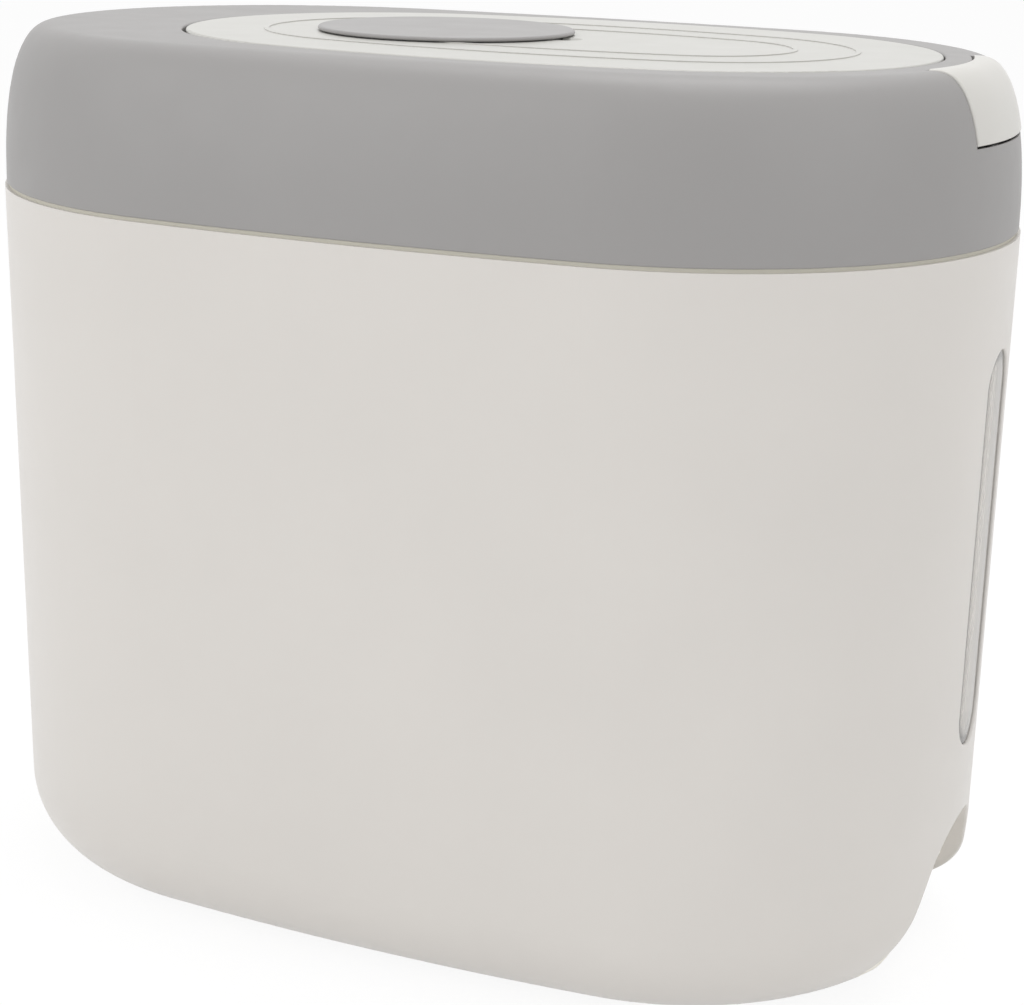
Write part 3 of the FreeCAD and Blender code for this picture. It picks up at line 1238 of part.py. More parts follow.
lid_posts = fill_plan.grown(-9).six_points(48)
cover = doc.addObject("PartDesign::Body", "lid_plate")
cover_plan = new_sketch("cover_plan", cover, "XY_Plane", cover_z)
draw_oval(cover_plan, lid_plan)
plate = pad(cover, "cover_plate", cover_plan, lid_th)
high = lid_top.number
round_edges(cover, "cover_edge", plate, edge_round, lambda e: e.BoundBox.ZMin > high - 0.01)
ridges = []
for i, deep in enumerate((ridge_in, ridge_in + ridge_step)):
    ridges.append(cut("ridge_%d" % i,
                      prism("ridge_outer_%d" % i, lid_plan.grown(-deep), lid_top - 0.4,
                            lid_top + ridge_ht),
                      prism("ridge_inner_%d" % i, lid_plan.grown(-deep - ridge_wid), lid_top - over,
                            lid_top + over)))
stiffener = cut("lid_rib", prism("rib_outer", lid_plan.grown(-rib_in), tray_top + 0.3, cover_z + 0.5),
                prism("rib_inner", lid_plan.grown(-rib_in - rib_th), tray_top - over, cover_z + over),
                box("rib_gap", (-front_end, -cheek_out - 4, tray_top - over),
                    (trough_front + 5, cheek_out + 4, cover_z)))
posts = [rod("lid_post_%d" % i, "z", as_size(3.6), (x, y, tray_top), tray_gap + 0.5)
         for i, (x, y) in enumerate(lid_posts)]
thumb_x = cap_x + cap_rad + 0.5
thumb_pad = rod("thumb_pad", "z", as_size(7.5), (thumb_x, zero, cover_z - 1.4), 2)
cap_hole = rod("cap_hole", "z", neck_rad + 1.2, (cap_x, zero, tray_top), 20)
thumb_ball = ball("thumb_ball", thumb_rad, thumb_x, zero, lid_top - thumb_deep + thumb_rad)
post_holes = [rod("post_pilot_%d" % i, "z", screw_hole, (x, y, tray_top - over), 4 + over)
              for i, (x, y) in enumerate(lid_posts)]
keep(cut("lid_cover", fuse("cover_solid", cover, *ridges, stiffener, *posts, thumb_pad), cap_hole,
         thumb_ball, *post_holes), "lid_cover")

barb_x = hook_x + hook_th + nose + nose_gap
prong_x = barb_x + nose
barb_top = hook_z + hook_ht - nose_ht - 0.3
tray_solid = [prism("tray_plate", tray_plan, tray_low, tray_top)]
tray_solid.append(box("keeper_tab", (hook_x - 3, -keeper_wid / 2, tray_low),
                      (prong_x + keeper_th, keeper_wid / 2, tray_top)))
tray_solid.append(box("keeper_prong", (prong_x, -keeper_wid / 2, barb_top - nose_ht),
                      (prong_x + keeper_th, keeper_wid / 2, tray_low + 0.5)))
tray_solid.append(box("keeper_barb", (barb_x, -keeper_wid / 2, barb_top - nose_ht),
                      (prong_x + 0.5, keeper_wid / 2, barb_top)))


def hinge_arm(name, low_y):
    """A gooseneck arm: it leaves the tray, curves down under the collar and up to the pin."""
    high_y = low_y + arm_th
    bar = box(name + "_bar", (hinge_x + arm_in + 1.2, low_y, tray_top - 0.3),
              (fill_x - fill_len / 2 - tray_over + 9, high_y, cover_z - 0.1))
    root_block = box(name + "_root", (fill_x - fill_len / 2 - tray_over + 2, low_y, tray_low),
                     (fill_x - fill_len / 2 - tray_over + 9, high_y, tray_top))
    band = cut(name + "_band", rod(name + "_band_out", "y", arm_in + arm_wid, (hinge_x, low_y, hinge_z),
                                   arm_th),
               rod(name + "_band_in", "y", arm_in, (hinge_x, low_y - over, hinge_z), arm_th + 2 * over))
    quarter = box(name + "_quarter", (hinge_x - spoke_wid / 2, low_y, hinge_z - arm_in - arm_wid - over),
                  (hinge_x + arm_in + arm_wid + over, high_y, cover_z - 0.1))
    curve = common(name + "_curve", band, quarter)
    spoke = box(name + "_spoke", (hinge_x - spoke_wid / 2, low_y, hinge_z - arm_in - 1),
                (hinge_x + spoke_wid / 2, high_y, hinge_z))
    hub = rod(name + "_hub", "y", hub_rad, (hinge_x, low_y, hinge_z), arm_th)
    return [bar, root_block, curve, spoke, hub]


arms = hinge_arm("left_arm", arm_y) + hinge_arm("right_arm", -arm_y - arm_th)
tray_holes = [rod("cup_hole", "z", cup_rad + 0.5, (cap_x, zero, tray_low - over), tray_th + 2 * over),
              rod("arm_bore", "y", pin_rad + hole_gap, (hinge_x, -cheek_y, hinge_z), 2 * cheek_y)]
tray_holes += [rod("tray_hole_%d" % i, "z", screw_hole, (x, y, tray_low - over), tray_th + 2 * over)
               for i, (x, y) in enumerate(lid_posts)]
keep(cut("lid_tray", fuse("tray_solid", *tray_solid, *arms), *tray_holes), "lid_tray")

keep(cut("lid_gasket", prism("lid_seal_outer", fill_plan.grown(seal_in + seal_wid),
                             ledge_z + bead_ht + 0.3, tray_low),
         prism("lid_seal_inner", fill_plan.grown(seal_in), ledge_z, tray_low + over)), "lid_gasket")
keep(group("lid_screws", [screw("lid_screw_%d" % i, "z", (x, y, tray_low), tray_th + 1.5 * bite,
                                True)
                          for i, (x, y) in enumerate(lid_posts)]), "lid_screws")

# ---------------------------------------------------------------------------------------------
# Moisture absorber: cup and pack in the lid, under a round cap with a sealing ring
# ---------------------------------------------------------------------------------------------

cup_top = tray_top + 1.6
cup_low = cup_top - cup_deep - cup_wall
inner = cup_rad - cup_wall
cup_turned = turned("cup_turned", [(0, cup_low), (cup_rad, cup_low), (cup_rad, tray_top),
                                   (cup_rad + cup_rim, tray_top), (cup_rad + cup_rim, cup_top),
                                   (inner, cup_top), (inner, cup_low + cup_wall),
                                   (0, cup_low + cup_wall)])
place(cup_turned, cap_x, zero, zero)
vents = []
for count, reach in ((1, 0), (6, 11), (12, 22)):
    for i in range(count):
        angle = 2 * math.pi * i / count
        vents.append(rod("vent_%d_%d" % (count, i), "z", vent_rad,
                         (cap_x + reach * math.cos(angle), as_size(reach * math.sin(angle)),
                          cup_low - over), cup_wall + 2 * over))
keep(cut("absorber_cup", cup_turned, *vents), "absorber_cup")

pack_rad = inner - 1.5
pack_low = cup_low + cup_wall + 0.3
absorber = turned("absorber_pack", [(0, pack_low), (pack_rad - 2, pack_low), (pack_rad, pack_low + 2),
                                    (pack_rad, pack_low + pack_ht - 2),
                                    (pack_rad - 2, pack_low + pack_ht), (0, pack_low + pack_ht)])
place(absorber, cap_x, zero, zero)
keep(absorber, "absorber_pack")

disc_low = lid_top + cap_lift
disc_top = disc_low + cap_th
neck_low = cup_top + 0.3
cap_turned = turned("cap_turned", [(0, disc_low - 0.6), (neck_rad - neck_th, disc_low - 0.6),
                                   (neck_rad - neck_th, neck_low), (neck_rad, neck_low),
                                   (neck_rad, disc_low), (cap_rad - 0.3, disc_low),
                                   (cap_rad, disc_low + 0.3), (cap_rad, disc_top - 0.6),
                                   (cap_rad - 0.25, disc_top - 0.2), (cap_rad - 0.7, disc_top),
                                   (0, disc_top)])
place(cap_turned, cap_x, zero, zero)
ring_z = lid_top - lid_th / 2 - 0.1


def ring(name, radius):
    loop = doc.addObject("Part::Torus", name)
    bind(loop, "Radius1", neck_rad)
    bind(loop, "Radius2", radius)
    place(loop, cap_x, zero, ring_z)
    return loop


keep(cut("absorber_cap", cap_turned, ring("ring_groove", ring_rad + 0.15)), "absorber_cap")
keep(ring("cap_ring", ring_rad), "cap_ring")

# ---------------------------------------------------------------------------------------------
# Latch: rocking button, hook, spring, box, pin and screws
# ---------------------------------------------------------------------------------------------

plate_front = hook_plate_x + hook_th
button_post_z = shelf_z + 4.6
button_block = cut("button_block", box("button_box", (lid_front, -latch_half, latch_z),
                                       (front_end, latch_half, top_z + 4)),
                   prism("button_heel", lid_plan.grown(latch_band), latch_z - over, top_z + 5))
button_skin = common("button_skin", cut("button_shell", dome("button_outside", -latch_proud),
                                        dome("button_inside", latch_skin - latch_proud)), button_block)
button_webs = []
for side, low in (("left", latch_half - 2), ("right", -latch_half)):
    button_webs.append(box("button_web_%s" % side, (latch_x - 4, low, latch_z),
                           (front_end, low + 2, top_z)))
button_bosses = []
for side, low in (("left", latch_half - 10.5), ("right", -latch_half + 0.3)):
    button_bosses.append(rod("pivot_boss_%s" % side, "y", as_size(2.8), (latch_x, low, pivot_z), 10.2))
    button_webs.append(box("boss_web_%s" % side, (latch_x - 2, low, pivot_z),
                           (latch_x + 2, low + 10.2, top_z - latch_skin)))
webs = common("button_webs", fuse("button_web_pair", *button_webs), dome("web_limit", as_size(1)))
posts = common("button_posts",
               fuse("button_post_pair", *[rod("button_post_%d" % i, "x", as_size(3.4),
                                              (plate_front, s * as_size(8), button_post_z), 12)
                                          for i, s in enumerate((-1, 1))]),
               dome("post_limit", as_size(1)))
button_cuts = [rod("button_bore", "y", pivot_rad + hole_gap, (latch_x, -side_end, pivot_z), 2 * side_end)]
button_cuts += [rod("button_pilot_%d" % i, "x", screw_hole, (plate_front - over, s * as_size(8),
                                                             button_post_z), 2 * bite + over)
                for i, s in enumerate((-1, 1))]
button_cut = cut("button_cut", fuse("button_solid", button_skin, webs, *button_bosses, posts),
                 *button_cuts)
button_side = latch_half.number - latch_gap.number / 2
keep(ease("latch_button", button_cut,
          (edge_soft, lambda m: abs(m.y) > button_side and m.x > latch_x.number + 5),
          (edge_soft, lambda m: abs(m.y) > button_side and m.z > top_z.number),
          (edge_soft, lambda m: abs(m.y) < 1 and m.x > spring_x.number + 5
           and m.z < latch_z.number + 0.1)), "latch_button")

hook_top = hook_z + hook_ht
hook_parts = [box("hook_plate", (hook_plate_x, -hook_wid, hook_z),
                  (plate_front, hook_wid, pivot_z - 1.5)),
              box("hook_arm", (hook_x, -hook_wid / 2, hook_z),
                  (plate_front, hook_wid / 2, hook_z + hook_th)),
              box("hook_upright", (hook_x, -hook_wid / 2, hook_z),
                  (hook_x + hook_th, hook_wid / 2, hook_top)),
              box("hook_nose", (hook_x + 0.5, -hook_wid / 2, hook_top - nose_ht),
                  (hook_x + hook_th + nose, hook_wid / 2, hook_top)),
              box("hook_shelf", (plate_front - 0.5, -spring_rad - 1.5, shelf_z),
                  (spring_x + spring_rad + 0.5, spring_rad + 1.5, shelf_z + 2))]
hook_holes = [rod("hook_hole_%d" % i, "x", screw_hole, (hook_plate_x - over, s * as_size(8), button_post_z),
                  hook_th + 2 * over) for i, s in enumerate((-1, 1))]
keep(cut("latch_hook", fuse("hook_solid", *hook_parts), *hook_holes), "latch_hook")
keep(group("latch_screws",
           [screw("latch_screw_%d" % i, "x", (hook_plate_x, s * as_size(8), button_post_z),
                  hook_th + 1.8 * bite, True) for i, s in enumerate((-1, 1))]), "latch_screws")

box_floor = box_z + box_th
box_shell = cut("latch_box_shell",
                box("latch_box_block", (box_x, -box_half, box_z), (front_end, box_half, skin_z - 2)),
                box("latch_box_space", (box_x + box_th, -box_half + box_th, box_floor),
                    (front_end + over, box_half - box_th, skin_z)),
                box("latch_box_step", (box_x - over, -box_half - over, ledge_low),
                    (pocket_x - 1.6, box_half + over, skin_z)))
box_bosses = [rod("latch_box_boss_%d" % i, "z", as_size(3.6), (x, y, box_z), ledge_low - box_z)
              for i, (x, y) in enumerate(box_spots)]
spring_peg = rod("spring_peg", "z", spring_rad - 0.9, (spring_x, zero, box_z), box_th + 2)
box_body = common("latch_box_body", fuse("latch_box_solid", box_shell, *box_bosses, spring_peg),
                  dome("latch_box_limit", collar_wall + fit_gap))
box_holes = [rod("latch_box_hole_%d" % i, "z", screw_hole, (x, y, box_z - over), box_down)
             for i, (x, y) in enumerate(box_spots)]
box_holes.append(rod("latch_pin_bore", "y", pivot_rad + hole_gap, (latch_x, -side_end, pivot_z),
                     2 * side_end))
keep(cut("latch_box", box_body, *box_holes), "latch_box")
keep(group("latch_box_screws", [screw("latch_box_screw_%d" % i, "z", (x, y, box_z),
                                      ledge_z - box_z + bite - 0.3, True)
                                for i, (x, y) in enumerate(box_spots)]), "latch_box_screws")
keep(rod("latch_pin", "y", pivot_rad, (latch_x, -box_half, pivot_z), 2 * box_half), "latch_pin")
keep(coil("latch_spring", "z", spring_rad, spring_wire,
          (spring_x, zero, box_floor + spring_wire + 0.1),
          shelf_z - box_floor - 2 * spring_wire - 0.2, 6), "latch_spring")

# ---------------------------------------------------------------------------------------------
# Check every piece and write its file
# ---------------------------------------------------------------------------------------------

doc.recompute()
faults = []
for item in doc.Objects:
    if "Invalid" in item.State or "Error" in item.State:
        faults.append("%s: %s" % (item.Name, item.State))
for item in kept:
    if item.Shape.isNull() or not item.Shape.isValid() or not item.Shape.Solids:
        faults.append("%s: no valid solid" % item.Label)
if faults:
    raise RuntimeError("\n".join(faults))

os.makedirs("parts", exist_ok=True)
for item in kept:
    item.Shape.exportStep("parts/%s.step" % item.Label)
    span = item.Shape.BoundBox
    print("%-22s %d solid(s)  x %.1f..%.1f  y %.1f..%.1f  z %.1f..%.1f" % (
        item.Label, len(item.Shape.Solids), span.XMin, span.XMax, span.YMin, span.YMax,
        span.ZMin, span.ZMax))
print("%d parts written" % len(kept))
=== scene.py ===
# %% [markdown]
# # Rice dispenser with a drawer
#
# The object is a countertop bin for rice, moulded in warm white plastic, with a light grey
# domed collar that carries a flip lid, a press latch and a round absorber cap.
# The solids come from the imported model. This script gives every solid its finish, cuts crossed
# recesses into the screw heads that can be seen, and sets up the stage, lights and camera.

# %% Load the frame
import math

import bpy
from mathutils import Matrix, Vector


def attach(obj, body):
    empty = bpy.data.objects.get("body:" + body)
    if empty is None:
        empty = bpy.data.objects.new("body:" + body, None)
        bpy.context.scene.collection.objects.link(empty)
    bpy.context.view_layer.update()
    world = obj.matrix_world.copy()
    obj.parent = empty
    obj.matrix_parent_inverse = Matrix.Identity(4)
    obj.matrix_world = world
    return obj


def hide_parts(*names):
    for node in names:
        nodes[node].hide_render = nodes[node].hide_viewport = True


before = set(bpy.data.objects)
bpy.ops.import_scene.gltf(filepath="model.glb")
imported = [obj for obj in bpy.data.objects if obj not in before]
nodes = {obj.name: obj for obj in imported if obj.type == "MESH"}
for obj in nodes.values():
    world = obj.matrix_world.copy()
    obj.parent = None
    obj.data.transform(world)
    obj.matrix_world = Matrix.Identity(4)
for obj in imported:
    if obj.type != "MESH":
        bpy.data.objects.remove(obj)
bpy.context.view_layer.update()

# %% [markdown]
# ## Sizes in this script
#
# Blender counts in metres and a toolmaker in millimetres, so one factor joins them. What is
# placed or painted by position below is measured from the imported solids, so that it still fits
# when a size changes in the part's source.

# %% One millimetre
MM = 0.001
print("one millimetre is", MM, "m")

# %% [markdown]
# ## Moulded plastic
#
# Nearly everything here is injection-moulded polypropylene or ABS: one even colour that goes
# right through, a fine spark-eroded grain from the tool, and a broad soft shine.
# A noise texture could be painted on as an image, but a procedural one has no seams and no
# resolution. Two noises are used: a very fine one for the grain, as bump only, and a broad,
# faint one that changes colour and roughness by a hair, as real mouldings do.

# %% A helper that starts a material with a principled shader
def start_material(name):
    """A new node material, its tree, its shader and its object coordinates."""
    material = bpy.data.materials.new(name)
    material.use_nodes = True
    tree = material.node_tree
    shader = tree.nodes["Principled BSDF"]
    coords = tree.nodes.new("ShaderNodeTexCoord")
    return material, tree, shader, coords.outputs["Object"]


def noise(tree, coords, scale, detail=3.0, roughness=0.5):
    """A noise texture in object space. Scale is in waves for each metre."""
    texture = tree.nodes.new("ShaderNodeTexNoise")
    texture.inputs["Scale"].default_value = scale
    texture.inputs["Detail"].default_value = detail
    texture.inputs["Roughness"].default_value = roughness
    tree.links.new(coords, texture.inputs["Vector"])
    return texture.outputs["Fac"]


def spread(tree, value, low, high):
    """Map a noise from its usual 0.3 to 0.7 onto a range of our own."""
    ranged = tree.nodes.new("ShaderNodeMapRange")
    ranged.inputs["From Min"].default_value = 0.3
    ranged.inputs["From Max"].default_value = 0.7
    ranged.inputs["To Min"].default_value = low
    ranged.inputs["To Max"].default_value = high
    tree.links.new(value, ranged.inputs["Value"])
    return ranged.outputs["Result"]


def two_tones(tree, value, dark, light):
    """Blend two close colours by a noise."""
    ramp = tree.nodes.new("ShaderNodeValToRGB")
    ramp.color_ramp.elements[0].position = 0.3
    ramp.color_ramp.elements[0].color = (*dark, 1)
    ramp.color_ramp.elements[1].position = 0.7
    ramp.color_ramp.elements[1].color = (*light, 1)
    tree.links.new(value, ramp.inputs["Fac"])
    return ramp.outputs["Color"]


def linear(red, green, blue):
    """A display colour from 0 to 255, as the linear colour that a shader wants."""
    def channel(c):
        c = c / 255
        return c / 12.92 if c <= 0.04045 else ((c + 0.055) / 1.055) ** 2.4
    return channel(red), channel(green), channel(blue)


def shade(colour, factor):
    """The same colour, darker or lighter."""
    return tuple(c * factor for c in colour)


print("material helpers ready")


# %% The moulded plastic itself
MOTTLE_WAVES = 14
MOTTLE_DARK, MOTTLE_LIGHT = 0.985, 1.01
WEAR_WAVES = 60
WEAR_SPREAD = 0.03
GRAIN_DEPTH = 0.1 * MM


def moulded_plastic(name, colour, roughness, grain=0.04, grain_scale=2600, gloss=0.5):
    """One-colour moulding: faint broad mottling, fine grain, soft shine."""
    material, tree, shader, coords = start_material(name)
    mottle = noise(tree, coords, MOTTLE_WAVES, 2)
    tree.links.new(two_tones(tree, mottle, shade(colour, MOTTLE_DARK), shade(colour, MOTTLE_LIGHT)),
                   shader.inputs["Base Color"])
    worn = noise(tree, coords, WEAR_WAVES, 4)
    tree.links.new(spread(tree, worn, roughness - WEAR_SPREAD, roughness + WEAR_SPREAD),
                   shader.inputs["Roughness"])
    fine = noise(tree, coords, grain_scale, 2)
    bump = tree.nodes.new("ShaderNodeBump")
    bump.inputs["Strength"].default_value = grain
    bump.inputs["Distance"].default_value = GRAIN_DEPTH
    tree.links.new(fine, bump.inputs["Height"])
    tree.links.new(bump.outputs["Normal"], shader.inputs["Normal"])
    shader.inputs["Specular IOR Level"].default_value = gloss
    return material


WARM_WHITE = linear(215, 211, 206)
LID_WHITE = linear(193, 192, 187)
COLLAR_GREY = linear(152, 150, 149)

body_white = moulded_plastic("body_white_plastic", WARM_WHITE, 0.36)
front_white = moulded_plastic("drawer_front_plastic", linear(242, 238, 227), 0.42)
inner_white = moulded_plastic("inner_white_plastic", linear(216, 213, 207), 0.5)
lid_white = moulded_plastic("lid_white_plastic", LID_WHITE, 0.34)
latch_white = moulded_plastic("latch_white_plastic", linear(207, 205, 200), 0.34)
collar_grey = moulded_plastic("collar_grey_plastic", COLLAR_GREY, 0.46, gloss=0.5)
cap_grey = moulded_plastic("cap_grey_plastic", COLLAR_GREY, 0.42, gloss=0.6)
runner_plastic = moulded_plastic("runner_slick_plastic", linear(205, 205, 200), 0.25)
damper_black = moulded_plastic("damper_black_plastic", linear(42, 42, 44), 0.45)
print("moulded plastics made")

# %% [markdown]
# ## Soft grey rubber
#
# The feet, the seals and the thin band between body and collar are a thermoplastic rubber,
# in one tone each. The band's pale tone is partly its own rubber and partly a painted highlight,
# for the light that the body's rounded rim catches under the collar. The window's gasket is
# painted darker, as painted shade for the shadowed gap along the window's near edge.
# It has hardly any shine, and its grain is coarser than the hard plastic's.

# %% Rubber
def soft_rubber(name, colour):
    """Matt rubber with a slightly uneven skin."""
    return moulded_plastic(name, colour, 0.75, grain=0.12, grain_scale=1500, gloss=0.3)


seal_rubber = soft_rubber("seal_grey_rubber", linear(150, 150, 151))
# Seam band: its own pale rubber, made lighter still as a painted highlight for the light on the
# body's rounded rim.
band_rubber_and_highlight = soft_rubber("seam_rubber_painted_highlight", linear(208, 205, 193))
# Window gasket: grey rubber painted darker, as painted shade for the shadowed gap along the
# window's near edge.
window_rubber_and_shade = soft_rubber("window_rubber_painted_shade", linear(118, 115, 111))
foot_rubber = soft_rubber("foot_grey_rubber", linear(128, 128, 128))
print("rubbers made")

# %% [markdown]
# ## Clear window
#
# The level window is a clear pane that the rice behind it shows through. A glass shader with
# full transmission would bend everything behind it and cost many bounces, so the pane mixes a
# little milky tint into a mostly transmitting shader with a mild refraction.
# Its colour runs in fine upright streaks, and is darkened towards the rounded outline by painted
# shade, for the shadow at the edge where the pane sits in the body. The distance from the pane's
# middle line drives that painted shade: it is flat along the straight part and round at the two
# ends.

# %% Clear plastic
PANE_FLANGE = 5 * MM
# Painted shade along the pane's outline: where its band starts and ends inside the edge, and how
# dark it gets.
EDGE_START = 3.9 * MM
EDGE_END = 2.1 * MM
EDGE_SHADE = 0.42
STREAK_WAVES = (500, 500, 9)
STREAK_DARK, STREAK_LIGHT = (0.66, 0.62, 0.57), (0.90, 0.86, 0.80)
PANE_CLEARNESS = 0.6
PANE_REFRACTION = 1.42


def calculated(tree, operation, *values):
    """One math node on numbers or on other nodes' outputs."""
    step = tree.nodes.new("ShaderNodeMath")
    step.operation = operation
    for place, value in zip(step.inputs, values):
        if isinstance(value, (int, float)):
            place.default_value = value
        else:
            tree.links.new(value, place)
    return step.outputs["Value"]


def painted_edge_shade(tree, coords, pane):
    """Painted shade: one inside the pane, falling off in a narrow band along its rounded outline.
    """
    corners = [Vector(corner) for corner in pane.bound_box]
    low, high = min(c.z for c in corners), max(c.z for c in corners)
    half_width = max(c.y for c in corners) - PANE_FLANGE
    straight = (high - low) / 2 - PANE_FLANGE - half_width
    axes = tree.nodes.new("ShaderNodeSeparateXYZ")
    tree.links.new(coords, axes.inputs["Vector"])
    off_middle = calculated(tree, "SUBTRACT", axes.outputs["Z"], (low + high) / 2)
    past_straight = calculated(tree, "SUBTRACT",
                               calculated(tree, "ABSOLUTE", off_middle), straight)
    upright = calculated(tree, "MAXIMUM", past_straight, 0)
    square = calculated(tree, "ADD", calculated(tree, "POWER", axes.outputs["Y"], 2),
                        calculated(tree, "POWER", upright, 2))
    band = tree.nodes.new("ShaderNodeMapRange")
    band.inputs["From Min"].default_value = half_width - EDGE_START
    band.inputs["From Max"].default_value = half_width - EDGE_END
    band.inputs["To Min"].default_value = 1
    band.inputs["To Max"].default_value = EDGE_SHADE
    tree.links.new(calculated(tree, "SQRT", square), band.inputs["Value"])
    return band.outputs["Result"]


def clear_plastic(name, pane):
    """Streaky clear moulding with painted shade along its outline, for an upright rounded pane."""
    material, tree, shader, coords = start_material(name)
    haze = noise(tree, coords, 40, 3)
    tree.links.new(spread(tree, haze, 0.06, 0.12), shader.inputs["Roughness"])
    upright = tree.nodes.new("ShaderNodeMapping")
    upright.inputs["Scale"].default_value = STREAK_WAVES
    tree.links.new(coords, upright.inputs["Vector"])
    streaks = noise(tree, upright.outputs["Vector"], 1, 3)
    tint = two_tones(tree, streaks, STREAK_DARK, STREAK_LIGHT)
    # The streaky tint, darkened along the outline by the painted edge shade.
    edge_shaded_tint = tree.nodes.new("ShaderNodeVectorMath")
    edge_shaded_tint.operation = "SCALE"
    tree.links.new(tint, edge_shaded_tint.inputs["Vector"])
    tree.links.new(painted_edge_shade(tree, coords, pane), edge_shaded_tint.inputs["Scale"])
    tree.links.new(edge_shaded_tint.outputs["Vector"], shader.inputs["Base Color"])
    shader.inputs["Transmission Weight"].default_value = PANE_CLEARNESS
    shader.inputs["IOR"].default_value = PANE_REFRACTION
    return material


window_clear = clear_plastic("window_clear_plastic", nodes["window_pane"])
print("window plastic made")

# %% [markdown]
# ## Steel and cloth
#
# Pins, screws and springs are zinc-plated or ground steel. Their shine is stretched by fine
# lines from the lathe or the drawing die, which a noise squeezed along one axis gives.
# The absorber's pouch is non-woven cloth: pressed fibres, matt, with a fluffy bump.

# %% Steel and pouch cloth
LATHE_WAVES = (60, 4000, 4000)
SHINE_SPREAD = 0.08
FIBRE_WAVES = 900
FLUFF_DEPTH = 0.4 * MM


def brushed_steel(name, colour, roughness):
    """Metal with a shine that is stretched by fine lines across one axis."""
    material, tree, shader, coords = start_material(name)
    squeeze = tree.nodes.new("ShaderNodeMapping")
    squeeze.inputs["Scale"].default_value = LATHE_WAVES
    tree.links.new(coords, squeeze.inputs["Vector"])
    lines = noise(tree, squeeze.outputs["Vector"], 1, 3)
    tree.links.new(spread(tree, lines, roughness - SHINE_SPREAD, roughness + SHINE_SPREAD),
                   shader.inputs["Roughness"])
    tree.links.new(two_tones(tree, lines, shade(colour, 0.92), colour), shader.inputs["Base Color"])
    shader.inputs["Metallic"].default_value = 1.0
    return material


def pouch_cloth(name, colour):
    """Matt pressed fibres with a fluffy bump."""
    material, tree, shader, coords = start_material(name)
    fibres = noise(tree, coords, FIBRE_WAVES, 6, 0.7)
    tree.links.new(two_tones(tree, fibres, shade(colour, 0.9), colour), shader.inputs["Base Color"])
    shader.inputs["Roughness"].default_value = 0.9
    bump = tree.nodes.new("ShaderNodeBump")
    bump.inputs["Strength"].default_value = 0.5
    bump.inputs["Distance"].default_value = FLUFF_DEPTH
    tree.links.new(fibres, bump.inputs["Height"])
    tree.links.new(bump.outputs["Normal"], shader.inputs["Normal"])
    return material


screw_steel = brushed_steel("screw_zinc_steel", (0.62, 0.62, 0.60), 0.35)
pin_steel = brushed_steel("pin_ground_steel", (0.65, 0.65, 0.65), 0.2)
spring_steel = brushed_steel("spring_wire_steel", (0.5, 0.5, 0.5), 0.3)
pouch_white = pouch_cloth("pouch_white_cloth", linear(236, 236, 230))
print("steel and cloth made")

# %% [markdown]
# ## Give each solid its finish

# %% Finishes by node
finishes = {
    body_white: ["body_shell"],
    front_white: ["drawer_front"],
    inner_white: ["hopper", "drawer_bay", "fill_ring", "hinge_housing", "latch_box", "drawer_box",
                  "flow_shutter", "lid_tray", "latch_hook", "absorber_cup", "window_frame"],
    runner_plastic: ["drawer_runner_left", "drawer_runner_right"],
    lid_white: ["lid_cover"],
    latch_white: ["latch_button"],
    collar_grey: ["collar"],
    cap_grey: ["absorber_cap"],
    band_rubber_and_highlight: ["collar_gasket"],
    seal_rubber: ["lid_gasket", "cap_ring"],
    window_rubber_and_shade: ["window_gasket"],
    foot_rubber: ["foot_rear_right", "foot_rear_left", "foot_front_right", "foot_front_left"],
    window_clear: ["window_pane"],
    pouch_white: ["absorber_pack"],
    damper_black: ["lid_damper"],
    screw_steel: ["bay_screws", "hopper_screws", "window_screws", "drawer_screws",
                  "fill_ring_screws", "hinge_screws", "lid_screws", "latch_screws",
                  "latch_box_screws"],
    pin_steel: ["hinge_pin", "latch_pin"],
    spring_steel: ["lid_spring", "latch_spring"],
}
for material, names in finishes.items():
    for name in names:
        mesh = nodes[name].data
        mesh.materials.clear()
        mesh.materials.append(material)
print(sum(len(names) for names in finishes.values()), "of", len(nodes), "nodes have a finish")

# %% [markdown]
# ## Crossed recesses in the screw heads
#
# Nothing says "screw" as plainly as the cross in its head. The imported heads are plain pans, so a
# copy of each group stands for it, with two crossed slots sunk into every head that can be seen
# from below or with the lid open. Two thin bars do the cutting: they are tapered like the tip of
# a driver, by scaling their inner faces in edit mode, and each cuts with a boolean of its own.
# A texture would be lighter, but a real recess catches the light when the view turns.

# %% Cut a cross into the screw heads that can be seen
JOIN_WITHIN = 0.001 * MM
SMOOTH_UNDER = math.radians(35)
CROSS_LENGTH = 3.4 * MM
CROSS_WIDTH = 0.8 * MM
CROSS_DEPTH = 1.2 * MM
CROSS_TAPER = 0.55
FACING_UP = 0.9


def copy_and_merge(node_name):
    """Copy a CAD node, alone in the selection, with its loose triangles joined up."""
    bpy.ops.object.select_all(action="DESELECT")
    piece = nodes[node_name].copy()
    piece.data = nodes[node_name].data.copy()
    bpy.context.collection.objects.link(piece)
    piece.select_set(True)
    bpy.context.view_layer.objects.active = piece
    bpy.ops.object.mode_set(mode="EDIT")
    bpy.ops.mesh.select_all(action="SELECT")
    bpy.ops.mesh.remove_doubles(threshold=JOIN_WITHIN)
    bpy.ops.object.mode_set(mode="OBJECT")


